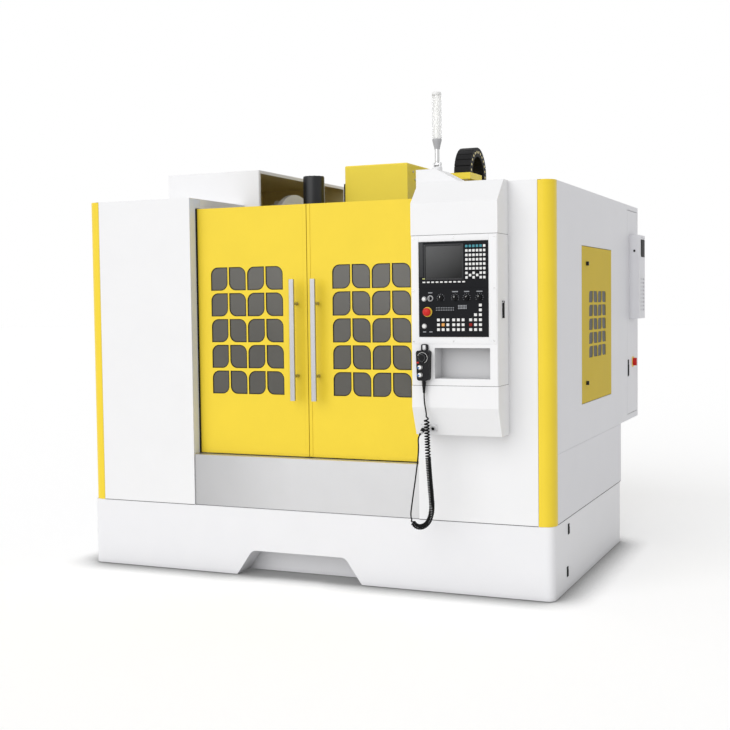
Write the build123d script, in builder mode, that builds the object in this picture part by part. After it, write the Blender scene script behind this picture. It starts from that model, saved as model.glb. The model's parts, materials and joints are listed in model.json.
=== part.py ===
"""Vertical CNC machining center, millimetres, +Z up.

The origin is on the floor in the middle of the machine, +X to the operator's right and +Y away
from the operator. Depths called "_in" are measured back from the plane of the front panels.
"""
from build123d import *
import math
import os

os.makedirs("parts", exist_ok=True)

# Envelope
width = 2700
half_width = width / 2
front_y = -1030
cabinet_depth = 2170
cabinet_height = 2060
base_depth = 1625
base_height = 370
overhang_height = 720
base_corner_radius = 40
floor_gap = 4
back_y = front_y + cabinet_depth
base_back_y = front_y + base_depth

# Sheet metal and clearances
sheet = 3
seam = 1.5
running = 0.4
door_gap = 3
roller_gap = 0.3
pin_gap = 0.3
hinge_radius = 4
hinge_pin = 3
pin_reach = 8

# Door opening in the front
opening_left = -677
opening_right = 650
apron_height = 650
door_bottom = 655
door_top = cabinet_height - 58
door_in = 70
door_thickness = 38
door_lap = 15
rear_gap = 14
jamb_depth = 64
meeting_gap = 1.5

# Leaf shaped windows in each front door
pane_width = 104
pane_height = 127
pane_pitch_x = 113
pane_pitch_z = 141.5
pane_radius = 42
window_columns = 4
window_rows = 5
window_side = 146
window_sill = 985
glass = 6

# Door handles
handle_offset = 62
handle_width = 28
handle_thickness = 14
handle_low = 960
handle_high = 1604
handle_stand = 58
handle_post_radius = 8
handle_post_inset = 130

# Yellow corner trims
trim_width = 76
trim_radius = 60

# Base front cut-out
cutout_left = -417
cutout_right = 326
cutout_slope = 95
cutout_height = 140
cutout_radius = 45
recess_depth = 150

# Bed, saddle and table
foot_height = 60
foot_radius = 55
bolt_radius = 15
bed_half = 380
bed_rear_half = 440
bed_top = 520
bed_front_in = 300
bed_wall = 35
rail_width = 35
rail_height = 30
carriage_height = 60
carriage_gap = 6
carriage_y = 190
carriage_half = 60
y_rail_x = 300
saddle_height = 130
saddle_half = 400
saddle_wing = 650
saddle_depth = 490
x_rail_y = 140
table_length = 1000
table_depth = 490
table_thickness = 80
slot_count = 5
slot_pitch = 90
slot_width = 18
slot_neck = 20
slot_tee = 30
slot_tee_height = 12
x_travel = 400
y_travel = 250
z_travel = 500

# Spindle, head and column
spindle_y = 150
nose_z = 1460
nose_radius = 64
cartridge_radius = 75
taper_radius = 22.2
taper_depth = 65
column_front = 690
column_depth = 410
column_top = 2130
column_foot_half = 430
column_top_half = 330
column_wall = 34
z_rail_x = 230
screw_radius = 20
nut_radius = 36
nut_length = 120
head_half = 165
head_plate_half = 300
head_plate = 60
head_plate_low = 1540
head_plate_top = 2040
z_rail_low = head_plate_low - z_travel - 110
cover_left = -175
cover_right = 227
cover_front = -60
cover_back = 530
cover_low = 1640
cover_top = 2298

# Tool magazine and changer
disc_x = -610
disc_z = 1830
disc_radius = 330
disc_thickness = 30
pot_circle = 275
pot_count = 24
pot_radius = 28
pot_bore = 20
pot_length = 95
arm_z = 1405
arm_thickness = 40
changer_drop = 110
housing_left = -1203
housing_right = -574
housing_front_in = 620
housing_back_in = 1846
housing_low = 1440
housing_top = cabinet_height + 203
motor_radius = 62

# Operator console
console_left = 687
console_right = 1128
console_depth = 180
console_top = cabinet_height + 2
console_shoulder = console_top - 106
console_ledge = 75
console_mid_top = 1800
console_mid_low = 1067
console_knee = 960
console_bottom = 821
console_foot = 125
console_gap = 2
console_clearance = 4
panel_left = 729
panel_right = 1082
panel_low = 1306
panel_top = 1766
panel_split = 1541
panel_proud = 4
panel_body = 50
niche_left = 806
niche_right = 1088
niche_low = 1102
niche_top = 1252
niche_depth = 105

# Hand pendant and its cord
pendant_x = 757
pendant_low = 1094
pendant_top = 1240
pendant_width = 68
pendant_depth = 40
relief_low = 1032
cord_radius = 3.25
coil_radius = 13

# Side doors on the right
side_door_front_in = 596
side_door_back_in = 1348
side_door_low = 922
side_door_top = 1764
cabinet_door_front_in = 1822
cabinet_door_back_in = 2150
cabinet_door_low = 756
cabinet_door_top = cabinet_height - 30
leaf_thickness = 20

# Signal lamp
lamp_x = 706
lamp_in = 160
lamp_hinge = cabinet_height + 118
lamp_top = lamp_hinge + 367
lamp_radius = 24


def block(x0, x1, y0, y1, z0, z1, mode=Mode.ADD):
    """A box between two corners, for the part that is being built."""
    with Locations(((x0 + x1) / 2, (y0 + y1) / 2, (z0 + z1) / 2)):
        return Box(abs(x1 - x0), abs(y1 - y0), abs(z1 - z0), mode=mode)


def rod(center, radius, length, axis, mode=Mode.ADD):
    """A cylinder centred on a point, along X, Y or Z."""
    turn = {"X": (0, 90, 0), "Y": (90, 0, 0), "Z": (0, 0, 0)}[axis]
    with Locations(Location(center, turn)):
        return Cylinder(radius, length, mode=mode)


def finish(name, part):
    """Label a piece and write it."""
    part.label = name
    export_step(part, f"parts/{name}.step")


def leaf_face(pane_w, pane_h, radius, lean):
    """One window pane: a rectangle with two opposite corners rounded."""
    with BuildSketch() as pane:
        Rectangle(pane_w, pane_h)
        rounded = [v for v in pane.vertices() if v.X * v.Y * lean < 0]
        fillet(rounded, radius)
    return pane.sketch


def leaf_grid(columns, rows, pane_w, pane_h, pitch_w, pitch_h, radius):
    """The panes of one window, mirrored column by column."""
    leaves = {lean: leaf_face(pane_w, pane_h, radius, lean) for lean in (1, -1)}
    panes = Sketch()
    for column in range(columns):
        lean = 1 if column % 2 == 0 else -1
        u = (column - (columns - 1) / 2) * pitch_w
        for row in range(rows):
            v = (row - (rows - 1) / 2) * pitch_h
            panes = panes + Pos(u, v, 0) * leaves[lean]
    return panes


# Levelling feet under the bed: a pad and a bolt each
foot_pitch_x = 560
foot_rows = 4
bed_front = front_y + bed_front_in
column_back = column_front + column_depth
bed_back = column_back + 5
foot_pitch_y = (bed_back - bed_front - 2 * foot_radius - 40) / (foot_rows - 1)
foot_pad = 22
with BuildPart() as levelling_feet:
    with Locations((0, (bed_front + bed_back) / 2, 0)):
        with GridLocations(foot_pitch_x, foot_pitch_y, 2, foot_rows):
            Cylinder(foot_radius, foot_pad, align=(Align.CENTER, Align.CENTER, Align.MIN))
            Cylinder(bolt_radius, foot_height, align=(Align.CENTER, Align.CENTER, Align.MIN))
finish("levelling_feet", levelling_feet.part)

# Bed casting: a long box, wider under the column, with ribbed pockets below and a screw trough
trough_half = 62
y_screw_z = bed_top + 10
trough_bottom = bed_top - 80
saddle_bottom = bed_top + carriage_height
saddle_top = saddle_bottom + saddle_height
bearing_length = 50
y_screw_front = bed_front + 30
y_screw_back = column_front - 40
bearing_top = saddle_bottom - 12
pocket_columns = 3
pocket_rows = 7
with BuildPart() as bed_casting:
    block(-bed_half, bed_half, bed_front, bed_back, foot_height, bed_top)
    block(-bed_rear_half, bed_rear_half, column_front - 10, bed_back, foot_height, bed_top)
    block(-trough_half, trough_half, bed_front, column_front - 30, trough_bottom, bed_top, Mode.SUBTRACT)
    pocket_x = (2 * bed_half - (pocket_columns + 1) * bed_wall) / pocket_columns
    pocket_y = (bed_back - bed_front - (pocket_rows + 1) * bed_wall) / pocket_rows
    pocket_z = trough_bottom - bed_wall - foot_height
    boss = 140
    with Locations((0, (bed_front + bed_back) / 2, foot_height + pocket_z / 2 + boss / 2)):
        with GridLocations(pocket_x + bed_wall, pocket_y + bed_wall, pocket_columns, pocket_rows):
            Box(pocket_x, pocket_y, pocket_z - boss, mode=Mode.SUBTRACT)
    for bearing_y in (y_screw_front, y_screw_back - bearing_length):
        block(-trough_half, trough_half, bearing_y, bearing_y + bearing_length, trough_bottom, bearing_top)
        rod((0, bearing_y + bearing_length / 2, y_screw_z),
            screw_radius + running, bearing_length, "Y", Mode.SUBTRACT)
finish("bed_casting", bed_casting.part)

# Linear rails of the two fixed axes: along the bed and up the column
y_rail_reach = y_travel + carriage_y + carriage_half + 10
y_rail_front = spindle_y - y_rail_reach
y_rail_back = spindle_y + y_rail_reach
z_rail_top = column_top - 15
with BuildPart() as linear_rails:
    for side in (-1, 1):
        block(side * y_rail_x - rail_width / 2, side * y_rail_x + rail_width / 2,
              y_rail_front, y_rail_back, bed_top, bed_top + rail_height)
        block(side * z_rail_x - rail_width / 2, side * z_rail_x + rail_width / 2,
              column_front - rail_height, column_front, z_rail_low, z_rail_top)
finish("linear_rails", linear_rails.part)

# Saddle: a middle block on four carriages, two tapered wings, and the cross rails on top
x_screw_z = saddle_top - 10
x_trough_bottom = x_screw_z - 60
wing_height = 78
x_bearing_top = saddle_top + carriage_height - 15
x_motor_half = 55
x_motor_length = 150
with BuildPart() as saddle:
    with BuildSketch(Plane.XZ.offset(-spindle_y)):
        with BuildLine():
            Polyline(
                (-saddle_wing, saddle_top), (-saddle_wing, saddle_top - wing_height),
                (-saddle_half, saddle_bottom), (saddle_half, saddle_bottom),
                (saddle_wing, saddle_top - wing_height), (saddle_wing, saddle_top), close=True)
        make_face()
    extrude(amount=x_rail_y + 40, both=True)
    block(-saddle_half, saddle_half, spindle_y - saddle_depth / 2, spindle_y + saddle_depth / 2,
          saddle_bottom, saddle_top)
    block(-saddle_wing, saddle_wing, spindle_y - 50, spindle_y + 50,
          x_trough_bottom, saddle_top, Mode.SUBTRACT)
    for side in (-1, 1):
        block(-saddle_wing, saddle_wing, spindle_y + side * x_rail_y - rail_width / 2,
              spindle_y + side * x_rail_y + rail_width / 2, saddle_top, saddle_top + rail_height)
        bearing_x = side * (saddle_wing - bearing_length / 2)
        block(bearing_x - bearing_length / 2, bearing_x + bearing_length / 2,
              spindle_y - 50, spindle_y + 50, x_trough_bottom, x_bearing_top)
        rod((bearing_x, spindle_y, x_screw_z), screw_radius + running, bearing_length, "X", Mode.SUBTRACT)
        for end in (-1, 1):
            block(side * y_rail_x - 45, side * y_rail_x + 45, spindle_y + end * carriage_y - carriage_half,
                  spindle_y + end * carriage_y + carriage_half, bed_top + carriage_gap, saddle_bottom)
        block(side * y_rail_x - rail_width / 2 - running,
              side * y_rail_x + rail_width / 2 + running, spindle_y - saddle_depth,
              spindle_y + saddle_depth, bed_top, bed_top + rail_height + running, Mode.SUBTRACT)
    rod((0, spindle_y, y_screw_z), nut_radius, nut_length, "Y")
    block(-25, 25, spindle_y - nut_length / 2, spindle_y + nut_length / 2, y_screw_z + 25, saddle_bottom)
    rod((0, spindle_y, y_screw_z), screw_radius + running, nut_length, "Y", Mode.SUBTRACT)
    block(saddle_wing, saddle_wing + x_motor_length, spindle_y - x_motor_half, spindle_y + x_motor_half,
          x_screw_z - x_motor_half, x_screw_z + x_motor_half)
finish("saddle", saddle.part)

# Work table: tee slots above, carriages and the ball nut below
table_bottom = saddle_top + carriage_height
table_top = table_bottom + table_thickness
table_carriage_x = 200
table_carriage_half = 45
with BuildPart() as table:
    block(-table_length / 2, table_length / 2, spindle_y - table_depth / 2,
          spindle_y + table_depth / 2, table_bottom, table_top)
    for slot in range(slot_count):
        slot_y = spindle_y + (slot - (slot_count - 1) / 2) * slot_pitch
        tee_top = table_top - slot_neck
        block(-table_length / 2, table_length / 2, slot_y - slot_width / 2, slot_y + slot_width / 2,
              tee_top, table_top, Mode.SUBTRACT)
        block(-table_length / 2, table_length / 2, slot_y - slot_tee / 2, slot_y + slot_tee / 2,
              tee_top - slot_tee_height, tee_top, Mode.SUBTRACT)
    for side in (-1, 1):
        for end in (-1, 1):
            rail_y = spindle_y + side * x_rail_y
            block(end * table_carriage_x - table_carriage_half,
                  end * table_carriage_x + table_carriage_half,
                  rail_y - 42, rail_y + 42, saddle_top + carriage_gap, table_bottom)
            block(end * table_carriage_x - table_carriage_half,
                  end * table_carriage_x + table_carriage_half,
                  rail_y - rail_width / 2 - running, rail_y + rail_width / 2 + running,
                  saddle_top, saddle_top + rail_height + running, Mode.SUBTRACT)
    rod((0, spindle_y, x_screw_z), nut_radius, nut_length, "X")
    block(-nut_length / 2, nut_length / 2, spindle_y - 25, spindle_y + 25, x_screw_z + 25, table_bottom)
    rod((0, spindle_y, x_screw_z), screw_radius + running, nut_length, "X", Mode.SUBTRACT)
finish("table", table.part)

# Column: a tapered casting, open and ribbed at the back, with a trough for the vertical screw
z_screw_y = column_front - 30
z_trough_half = 64
z_trough_depth = 45
column_face = 90
rib_z = 1250
rib_thickness = 40
chain_inner = 342
chain_outer = 446
chain_anchor_top = 2000
chain_anchor_front = 717
chain_anchor_back = 797


def column_outline(inset):
    """Half widths of the column at its foot and top, inset for the wall."""
    return [
        (-column_foot_half + inset, bed_top + inset), (column_foot_half - inset, bed_top + inset),
        (column_top_half - inset, column_top - inset), (-column_top_half + inset, column_top - inset)]


with BuildPart() as column_casting:
    with BuildSketch(Plane.XZ.offset(-column_front)):
        Polygon(*column_outline(0), align=None)
    extrude(amount=-column_depth)
    with BuildSketch(Plane.XZ.offset(-column_front - column_face)):
        Polygon(*column_outline(column_wall), align=None)
    extrude(amount=-column_depth, mode=Mode.SUBTRACT)
    block(-column_top_half, column_top_half, column_front + column_face - 5,
          column_back, rib_z, rib_z + rib_thickness)
    block(-z_trough_half, z_trough_half, column_front,
          column_front + z_trough_depth, z_rail_low, column_top, Mode.SUBTRACT)
    for bearing_z in (z_rail_low, column_top - bearing_length):
        block(-z_trough_half, z_trough_half, z_screw_y - 28, column_front + z_trough_depth, bearing_z,
              bearing_z + bearing_length)
        rod((0, z_screw_y, bearing_z + bearing_length / 2),
            screw_radius + running, bearing_length, "Z", Mode.SUBTRACT)
    block(column_top_half - 5, chain_outer, chain_anchor_front,
          chain_anchor_back, chain_anchor_top - 60, chain_anchor_top)
finish("column_casting", column_casting.part)

# Ball screws of the three axes


def ball_screw(name, axis, start, end, fixed):
    """A screw from start to end along an axis, at the two fixed coordinates."""
    middle = (start + end) / 2
    place = {"X": (middle, *fixed), "Y": (fixed[0], middle, fixed[1]), "Z": (*fixed, middle)}[axis]
    with BuildPart() as screw:
        rod(place, screw_radius, end - start, axis)
    finish(name, screw.part)


ball_screw("x_ball_screw", "X", -saddle_wing, saddle_wing - seam, (spindle_y, x_screw_z))
ball_screw("y_ball_screw", "Y", bed_front + seam, y_screw_back, (0, y_screw_z))
ball_screw("z_ball_screw", "Z", z_rail_low, column_top, (0, z_screw_y))

# Servo motors of the bed and the column: body, flange and connector box
motor_half = 65
motor_length = 195
with BuildPart() as axis_motors:
    y_motor_back = bed_front
    block(-motor_half, motor_half, y_motor_back - 20, y_motor_back,
          y_screw_z - motor_half, y_screw_z + motor_half)
    rod((0, y_motor_back - motor_length / 2, y_screw_z), motor_half - 4, motor_length, "Y")
    block(-25, 25, y_motor_back - motor_length + 20,
          y_motor_back - motor_length + 75, y_screw_z + 50, y_screw_z + 72)
    block(-motor_half, motor_half, z_screw_y - 28,
          z_screw_y + 2 * motor_half - 28, column_top, column_top + 20)
    rod((0, z_screw_y + motor_half - 28, column_top + motor_length / 2), motor_half - 4, motor_length, "Z")
finish("axis_motors", axis_motors.part)

# Head casting: a neck for the spindle, a back plate, four carriages and the ball nut
head_low = nose_z + 40
neck_low = 1560
neck_top = 1960
head_plate_back = column_front - 70
z_carriage_height = 120
z_carriage_back = column_front - carriage_gap
z_nut_low = 1740
with BuildPart() as head_casting:
    block(-head_half, head_half, spindle_y - 150, head_plate_back, neck_low, neck_top)
    fillet(head_casting.edges().filter_by(Axis.Z).sort_by(Axis.Y)[:2], 60)
    block(-head_plate_half, head_plate_half, head_plate_back - head_plate,
          head_plate_back, head_plate_low, head_plate_top)
    with Locations((0, spindle_y, head_low)):
        Cone(105, 125, neck_low - head_low, align=(Align.CENTER, Align.CENTER, Align.MIN))
    rod((0, spindle_y, (head_low + neck_top) / 2),
        cartridge_radius, neck_top - head_low, "Z", Mode.SUBTRACT)
    for side in (-1, 1):
        rail_x = side * z_rail_x
        for low in (head_plate_low + 20, head_plate_top - 20 - z_carriage_height):
            block(rail_x - 45, rail_x + 45, head_plate_back, z_carriage_back, low, low + z_carriage_height)
        block(rail_x - rail_width / 2 - running, rail_x + rail_width / 2 + running,
              column_front - rail_height - running, column_front,
              head_plate_low, head_plate_top, Mode.SUBTRACT)
    rod((0, z_screw_y, z_nut_low + nut_length / 2), nut_radius, nut_length, "Z")
    block(-25, 25, head_plate_back, z_screw_y - 22, z_nut_low, z_nut_low + nut_length)
    rod((0, z_screw_y, z_nut_low + nut_length / 2), screw_radius + running, nut_length, "Z", Mode.SUBTRACT)
    block(-80, 80, spindle_y + 130, spindle_y + 290, neck_top, neck_top + 230)
finish("head_casting", head_casting.part)

# Spindle: cartridge, nose with a taper and two drive keys, and the pulley on top
pulley_radius = 60
pulley_height = 45
pulley_low = neck_top + 40
with BuildPart() as spindle:
    with BuildSketch(Plane.XZ):
        with BuildLine():
            Polyline(
                (taper_radius, nose_z), (nose_radius, nose_z), (nose_radius, head_low + 8),
                (cartridge_radius - running, head_low + 8), (cartridge_radius - running, neck_top),
                (34, neck_top), (34, pulley_low), (pulley_radius, pulley_low),
                (pulley_radius, pulley_low + pulley_height), (26, pulley_low + pulley_height),
                (26, pulley_low + pulley_height + 60), (0, pulley_low + pulley_height + 60),
                (0, nose_z + taper_depth), (taper_radius - taper_depth * 7 / 48, nose_z + taper_depth),
                close=True)
        make_face()
    revolve(axis=Axis.Z)
    for side in (-1, 1):
        block(side * 28, side * 46, -8, 8, nose_z - 8, nose_z + 2)
spindle_part = Pos(0, spindle_y, 0) * spindle.part
finish("spindle", spindle_part)

# Yellow head cover: an open backed hood with the arm that carries the cable chain
cover_radius = 8
tray_low = 2236
tray_top = 2276
tray_front = 440
tray_back = column_front - rear_gap
with BuildPart() as head_cover:
    block(cover_left, cover_right, cover_front, cover_back, cover_low, cover_top)
    fillet(head_cover.edges().group_by(Axis.Z)[-1].sort_by(Axis.Y)[:3], cover_radius)
    block(cover_left + sheet, cover_right - sheet, cover_front + sheet, cover_back + 10, cover_low - 10,
          cover_top - sheet, Mode.SUBTRACT)
    block(cover_left, cover_right, cover_back - 20, cover_back, neck_top + 10, neck_top + 16)
    block(cover_left + sheet - 1, -head_half - running, cover_front + 80,
          cover_back - 20, cover_low + 10, cover_low + 60)
    block(head_half + running, cover_right - sheet + 1, cover_front + 80,
          cover_back - 20, cover_low + 10, cover_low + 60)
    block(cover_right - sheet, chain_outer + 4, tray_front, cover_back, tray_low, tray_top)
    block(chain_inner - 4, chain_outer + 4, tray_front, tray_back, tray_low, tray_top)
finish("head_cover", head_cover.part)

# Cable chain: a hoop of links that stands on the head's arm and ends at the column
chain_height = 58
chain_radius = 170
chain_y = tray_front + 6 + chain_radius
chain_low = chain_anchor_top
chain_links = 11
with BuildPart() as cable_chain:
    with BuildSketch(Plane.YZ.offset(chain_inner)):
        with Locations((chain_y, tray_top)):
            Circle(chain_radius)
            Circle(chain_radius - chain_height, mode=Mode.SUBTRACT)
            with Locations((0, -chain_radius)):
                Rectangle(2 * chain_radius, 2 * chain_radius, mode=Mode.SUBTRACT)
        with Locations((chain_y + chain_radius - chain_height / 2, (tray_top + chain_low) / 2)):
            Rectangle(chain_height, tray_top - chain_low)
    extrude(amount=chain_outer - chain_inner)
    for link in range(1, chain_links):
        angle = math.radians(180 * link / chain_links)
        reach = chain_radius - chain_height / 2
        spot = (
            (chain_inner + chain_outer) / 2,
            chain_y + reach * math.cos(angle),
            tray_top + reach * math.sin(angle))
        with Locations(Location(spot, (math.degrees(angle), 0, 0))):
            with Locations((0, chain_height / 2, 0), (0, -chain_height / 2, 0)):
                Box(chain_outer - chain_inner, 14, 7, mode=Mode.SUBTRACT)
    window = chain_height - 26
    for link in range(chain_links):
        angle = math.radians(180 * (link + 0.5) / chain_links)
        reach = chain_radius - chain_height / 2
        rod(((chain_inner + chain_outer) / 2,
            chain_y + reach * math.cos(angle), tray_top + reach * math.sin(angle)),
            window / 2, chain_outer - chain_inner, "X", Mode.SUBTRACT)
finish("cable_chain", cable_chain.part)

# Tool disc: a plate with a hub, fixed pots round its rim, and a notch for the pot that swings down
hub_radius = 62
shaft_radius = 25
disc_back = disc_x - disc_thickness
pot_mouth = disc_back - (pot_length - disc_thickness / 2)
pivot_x = disc_x - disc_thickness / 2
pivot_radius = 6
notch_half = pot_radius + 5
pot_pivot_z = disc_z - pot_circle
with BuildPart() as tool_disc:
    rod((disc_x - disc_thickness / 2, spindle_y, disc_z), disc_radius, disc_thickness, "X")
    rod((disc_x - disc_thickness / 2 - 15, spindle_y, disc_z), hub_radius, disc_thickness + 50, "X")
    for pot in range(1, pot_count):
        angle = math.radians(-90 + 360 * pot / pot_count)
        y = spindle_y + pot_circle * math.cos(angle)
        z = disc_z + pot_circle * math.sin(angle)
        rod(((disc_back + pot_mouth) / 2, y, z), pot_radius, disc_back - pot_mouth, "X")
        rod((pot_mouth + 25, y, z), pot_bore, 50, "X", Mode.SUBTRACT)
    for hole in range(6):
        angle = math.radians(30 + 60 * hole)
        rod((disc_x, spindle_y + 150 * math.cos(angle), disc_z + 150 * math.sin(angle)), 42,
            4 * disc_thickness, "X", Mode.SUBTRACT)
    rod((disc_x - 30, spindle_y, disc_z), shaft_radius + running, 160, "X", Mode.SUBTRACT)
    block(disc_back - 5, disc_x + 5, spindle_y - notch_half, spindle_y + notch_half,
          disc_z - disc_radius - 5, pot_pivot_z + 24, Mode.SUBTRACT)
    rod((pivot_x, spindle_y, pot_pivot_z), pivot_radius + running, 2 * notch_half + 60, "Y", Mode.SUBTRACT)
finish("tool_disc", tool_disc.part)

# The pot at the change station, on its two pivot pins
with BuildPart() as tool_pot:
    rod((pivot_x - 17 - (pot_length - 17) / 2, spindle_y, pot_pivot_z), pot_radius, pot_length - 17, "X")
    rod((pivot_x, spindle_y, pot_pivot_z), 14, 2 * pot_radius - 8, "Y")
    block(pivot_x - 20, pivot_x, spindle_y - pot_radius + 8,
          spindle_y + pot_radius - 8, pot_pivot_z - 12, pot_pivot_z + 12)
    rod((pivot_x, spindle_y, pot_pivot_z), pivot_radius, 2 * notch_half + 40, "Y")
    rod((pivot_x - pot_length + 25, spindle_y, pot_pivot_z), pot_bore, 50, "X", Mode.SUBTRACT)
finish("tool_pot", tool_pot.part)

# Magazine housing: a white box open towards the spindle, with a rim round the mouth
housing_front = front_y + housing_front_in
housing_back = front_y + housing_back_in
housing_rim = 18
with BuildPart() as magazine_housing:
    block(housing_left, housing_right, housing_front, housing_back, housing_low, housing_top)
    fillet(magazine_housing.edges().filter_by(Axis.Z).sort_by(Axis.Y)[:2], cover_radius)
    block(housing_left + sheet, housing_right - sheet, housing_front + sheet, housing_back - sheet,
          housing_low + sheet, housing_top - sheet, Mode.SUBTRACT)
    block(housing_right - 2 * sheet, housing_right + 1, housing_front + housing_rim,
          housing_back - housing_rim,
          housing_low - 1, housing_top - housing_rim, Mode.SUBTRACT)
    block(disc_back - pot_length - 60, housing_right + 1, housing_front + housing_rim,
          housing_back - housing_rim,
          housing_low - 1, housing_low + sheet + 1, Mode.SUBTRACT)
finish("magazine_housing", magazine_housing.part)

# Changer gearbox: carries the disc's shaft, the sleeve of the arm and the bracket to the column
changer_x = pivot_x / 2
gear_left = -425
gear_right = -215
gear_front = -280
gear_back = 230
gear_low = 1600
gear_top = 1980
sleeve_radius = 38
sleeve_low = arm_z + arm_thickness + 5
sleeve_top = gear_low + changer_drop + 10
bracket_left = -345
bracket_right = -305
with BuildPart() as changer_gearbox:
    block(gear_left, gear_right, gear_front, gear_back, gear_low, gear_top)
    chamfer(changer_gearbox.edges().group_by(Axis.Z)[-1], 18)
    with Locations((changer_x, spindle_y, gear_low)):
        Cylinder(sleeve_radius + 20, 40, align=(Align.CENTER, Align.CENTER, Align.MAX))
    block(bracket_left, bracket_right, gear_back - 5, column_front, 1660, 1930)
    rod(((gear_left + disc_back - 25) / 2, spindle_y, disc_z),
        shaft_radius, gear_left - disc_back + 25, "X")
    rod((gear_left - 30, spindle_y, disc_z), hub_radius, 60, "X")
    rod((changer_x, spindle_y, (gear_low - 40 + sleeve_top + 20) / 2), sleeve_radius + running,
        sleeve_top + 20 - gear_low + 40, "Z", Mode.SUBTRACT)
finish("changer_gearbox", changer_gearbox.part)

# Upright motor of the changer: finned body and ribbed cowl
changer_motor_y = gear_front + 68
changer_motor_top = 2228
with BuildPart() as changer_motor:
    with BuildSketch(Plane.XY.offset(gear_top)):
        with Locations((changer_x, changer_motor_y)):
            RectangleRounded(118, 118, 14)
    extrude(amount=14)
    with BuildSketch(Plane.XY.offset(gear_top + 14)):
        with Locations((changer_x, changer_motor_y)):
            Circle(motor_radius - 3)
    extrude(amount=changer_motor_top - 45 - gear_top - 14)
    with BuildSketch(Plane.XY.offset(changer_motor_top - 45)):
        with Locations((changer_x, changer_motor_y)):
            Circle(motor_radius)
            with PolarLocations(motor_radius, 24):
                Rectangle(5, 5, mode=Mode.SUBTRACT)
    extrude(amount=45)
finish("changer_motor", changer_motor.part)

# Changer sleeve, which slides in the gearbox, and the double arm on its shaft
with BuildPart() as changer_sleeve:
    with Locations((changer_x, spindle_y, sleeve_low)):
        Cylinder(sleeve_radius, sleeve_top - sleeve_low, align=(Align.CENTER, Align.CENTER, Align.MIN))
        Cylinder(shaft_radius + running, sleeve_top - sleeve_low, mode=Mode.SUBTRACT,
                 align=(Align.CENTER, Align.CENTER, Align.MIN))
finish("changer_sleeve", changer_sleeve.part)

grip_radius = 33
arm_reach = -changer_x
with BuildPart() as changer_arm:
    with BuildSketch(Plane.XY.offset(arm_z)):
        with Locations((changer_x, spindle_y)):
            Circle(58)
            Rectangle(62, 2 * arm_reach)
            with Locations((0, arm_reach), (0, -arm_reach)):
                Circle(grip_radius + 18)
                Circle(grip_radius, mode=Mode.SUBTRACT)
            with Locations((-40, arm_reach), (40, -arm_reach)):
                Rectangle(80, 52, mode=Mode.SUBTRACT)
    extrude(amount=arm_thickness)
    with Locations((changer_x, spindle_y, arm_z)):
        Cylinder(shaft_radius, sleeve_top - arm_z - 2, align=(Align.CENTER, Align.CENTER, Align.MIN))
finish("changer_arm", changer_arm.part)

# Base: a shell round the bed with rounded corners, a cut-out in front and a lined recess behind it
base_low = floor_gap
recess_wall = 4


def base_plan(inset):
    """The base outline, drawn in by an inset."""
    with BuildSketch(Plane.XY) as plan:
        with Locations((0, (front_y + base_back_y) / 2)):
            corner = max(base_corner_radius - inset, sheet)
            RectangleRounded(width - 2 * inset, base_depth - 2 * inset, corner)
    return plan.sketch


def cutout_face(grow):
    """The trapezoid of the cut-out in the front, grown by a wall."""
    with BuildSketch(Plane.XZ) as trapezoid:
        with BuildLine():
            Polyline(
                (cutout_left - grow, base_low - 1),
                (cutout_left + cutout_slope - grow, cutout_height + grow),
                (cutout_right - cutout_slope + grow, cutout_height + grow),
                (cutout_right + grow, base_low - 1),
                close=True)
        make_face()
        fillet(trapezoid.vertices().sort_by(Axis.Y)[-2:], cutout_radius)
    return trapezoid.sketch


with BuildPart() as base_skirt:
    add(extrude(Pos(0, 0, base_low) * base_plan(0), base_height - base_low - seam))
    add(extrude(Pos(0, 0, base_low) * base_plan(seam), base_height - base_low))
    add(extrude(Pos(0, 0, base_low + sheet) * base_plan(sheet), base_height - base_low - 2 * sheet),
        mode=Mode.SUBTRACT)
    add(extrude(Pos(0, 0, base_low) * base_plan(60), base_height), mode=Mode.SUBTRACT)
    add(extrude(Pos(0,
        front_y + recess_depth + recess_wall, 0) * cutout_face(recess_wall), recess_depth + 2))
    add(extrude(Pos(0, front_y + recess_depth, 0) * cutout_face(0), recess_depth + 10), mode=Mode.SUBTRACT)
    block(-width, width, front_y - 1, base_back_y + 1, base_low - 50, base_low, Mode.SUBTRACT)
    block(-bed_rear_half - 10, bed_rear_half + 10, base_back_y - 70, base_back_y + 10, base_low - 1,
          base_height + 1, Mode.SUBTRACT)
finish("base_skirt", base_skirt.part)

# Yellow corner trims: rounded uprights from the base to the top
trim_low = base_height
with BuildPart() as corner_trims:
    for side in (-1, 1):
        corner_x = side * half_width
        with BuildSketch(Plane.XY.offset(trim_low)):
            for inset, mode in ((0, Mode.ADD), (sheet, Mode.SUBTRACT)):
                edge = corner_x - side * inset
                far = corner_x - side * trim_width
                start = front_y + inset
                round_off = trim_radius - inset
                with BuildLine():
                    Line((far, start), (edge - side * round_off, start))
                    RadiusArc((edge - side * round_off, start),
                              (edge, start + round_off), -side * round_off)
                    Line((edge, start + round_off), (edge, front_y + trim_width))
                    Line((edge, front_y + trim_width), (far, front_y + trim_width))
                    Line((far, front_y + trim_width), (far, start))
                make_face(mode=mode)
        extrude(amount=cabinet_height - trim_low)
finish("corner_trims", corner_trims.part)

# White front panels beside the door opening, each with a return towards the doors
panel_low_z = base_height


def front_panel(outer, inner, side):
    """A panel from the trim to the opening; side is +1 on the right."""
    low_x, high_x = min(outer, inner), max(outer, inner)
    block(low_x, high_x, front_y, front_y + sheet, panel_low_z, cabinet_height)
    block(inner, inner + side * sheet, front_y, front_y + jamb_depth, panel_low_z, cabinet_height - sheet)
    block(outer - side * sheet, outer, front_y, front_y + 30, panel_low_z, cabinet_height - sheet)


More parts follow.
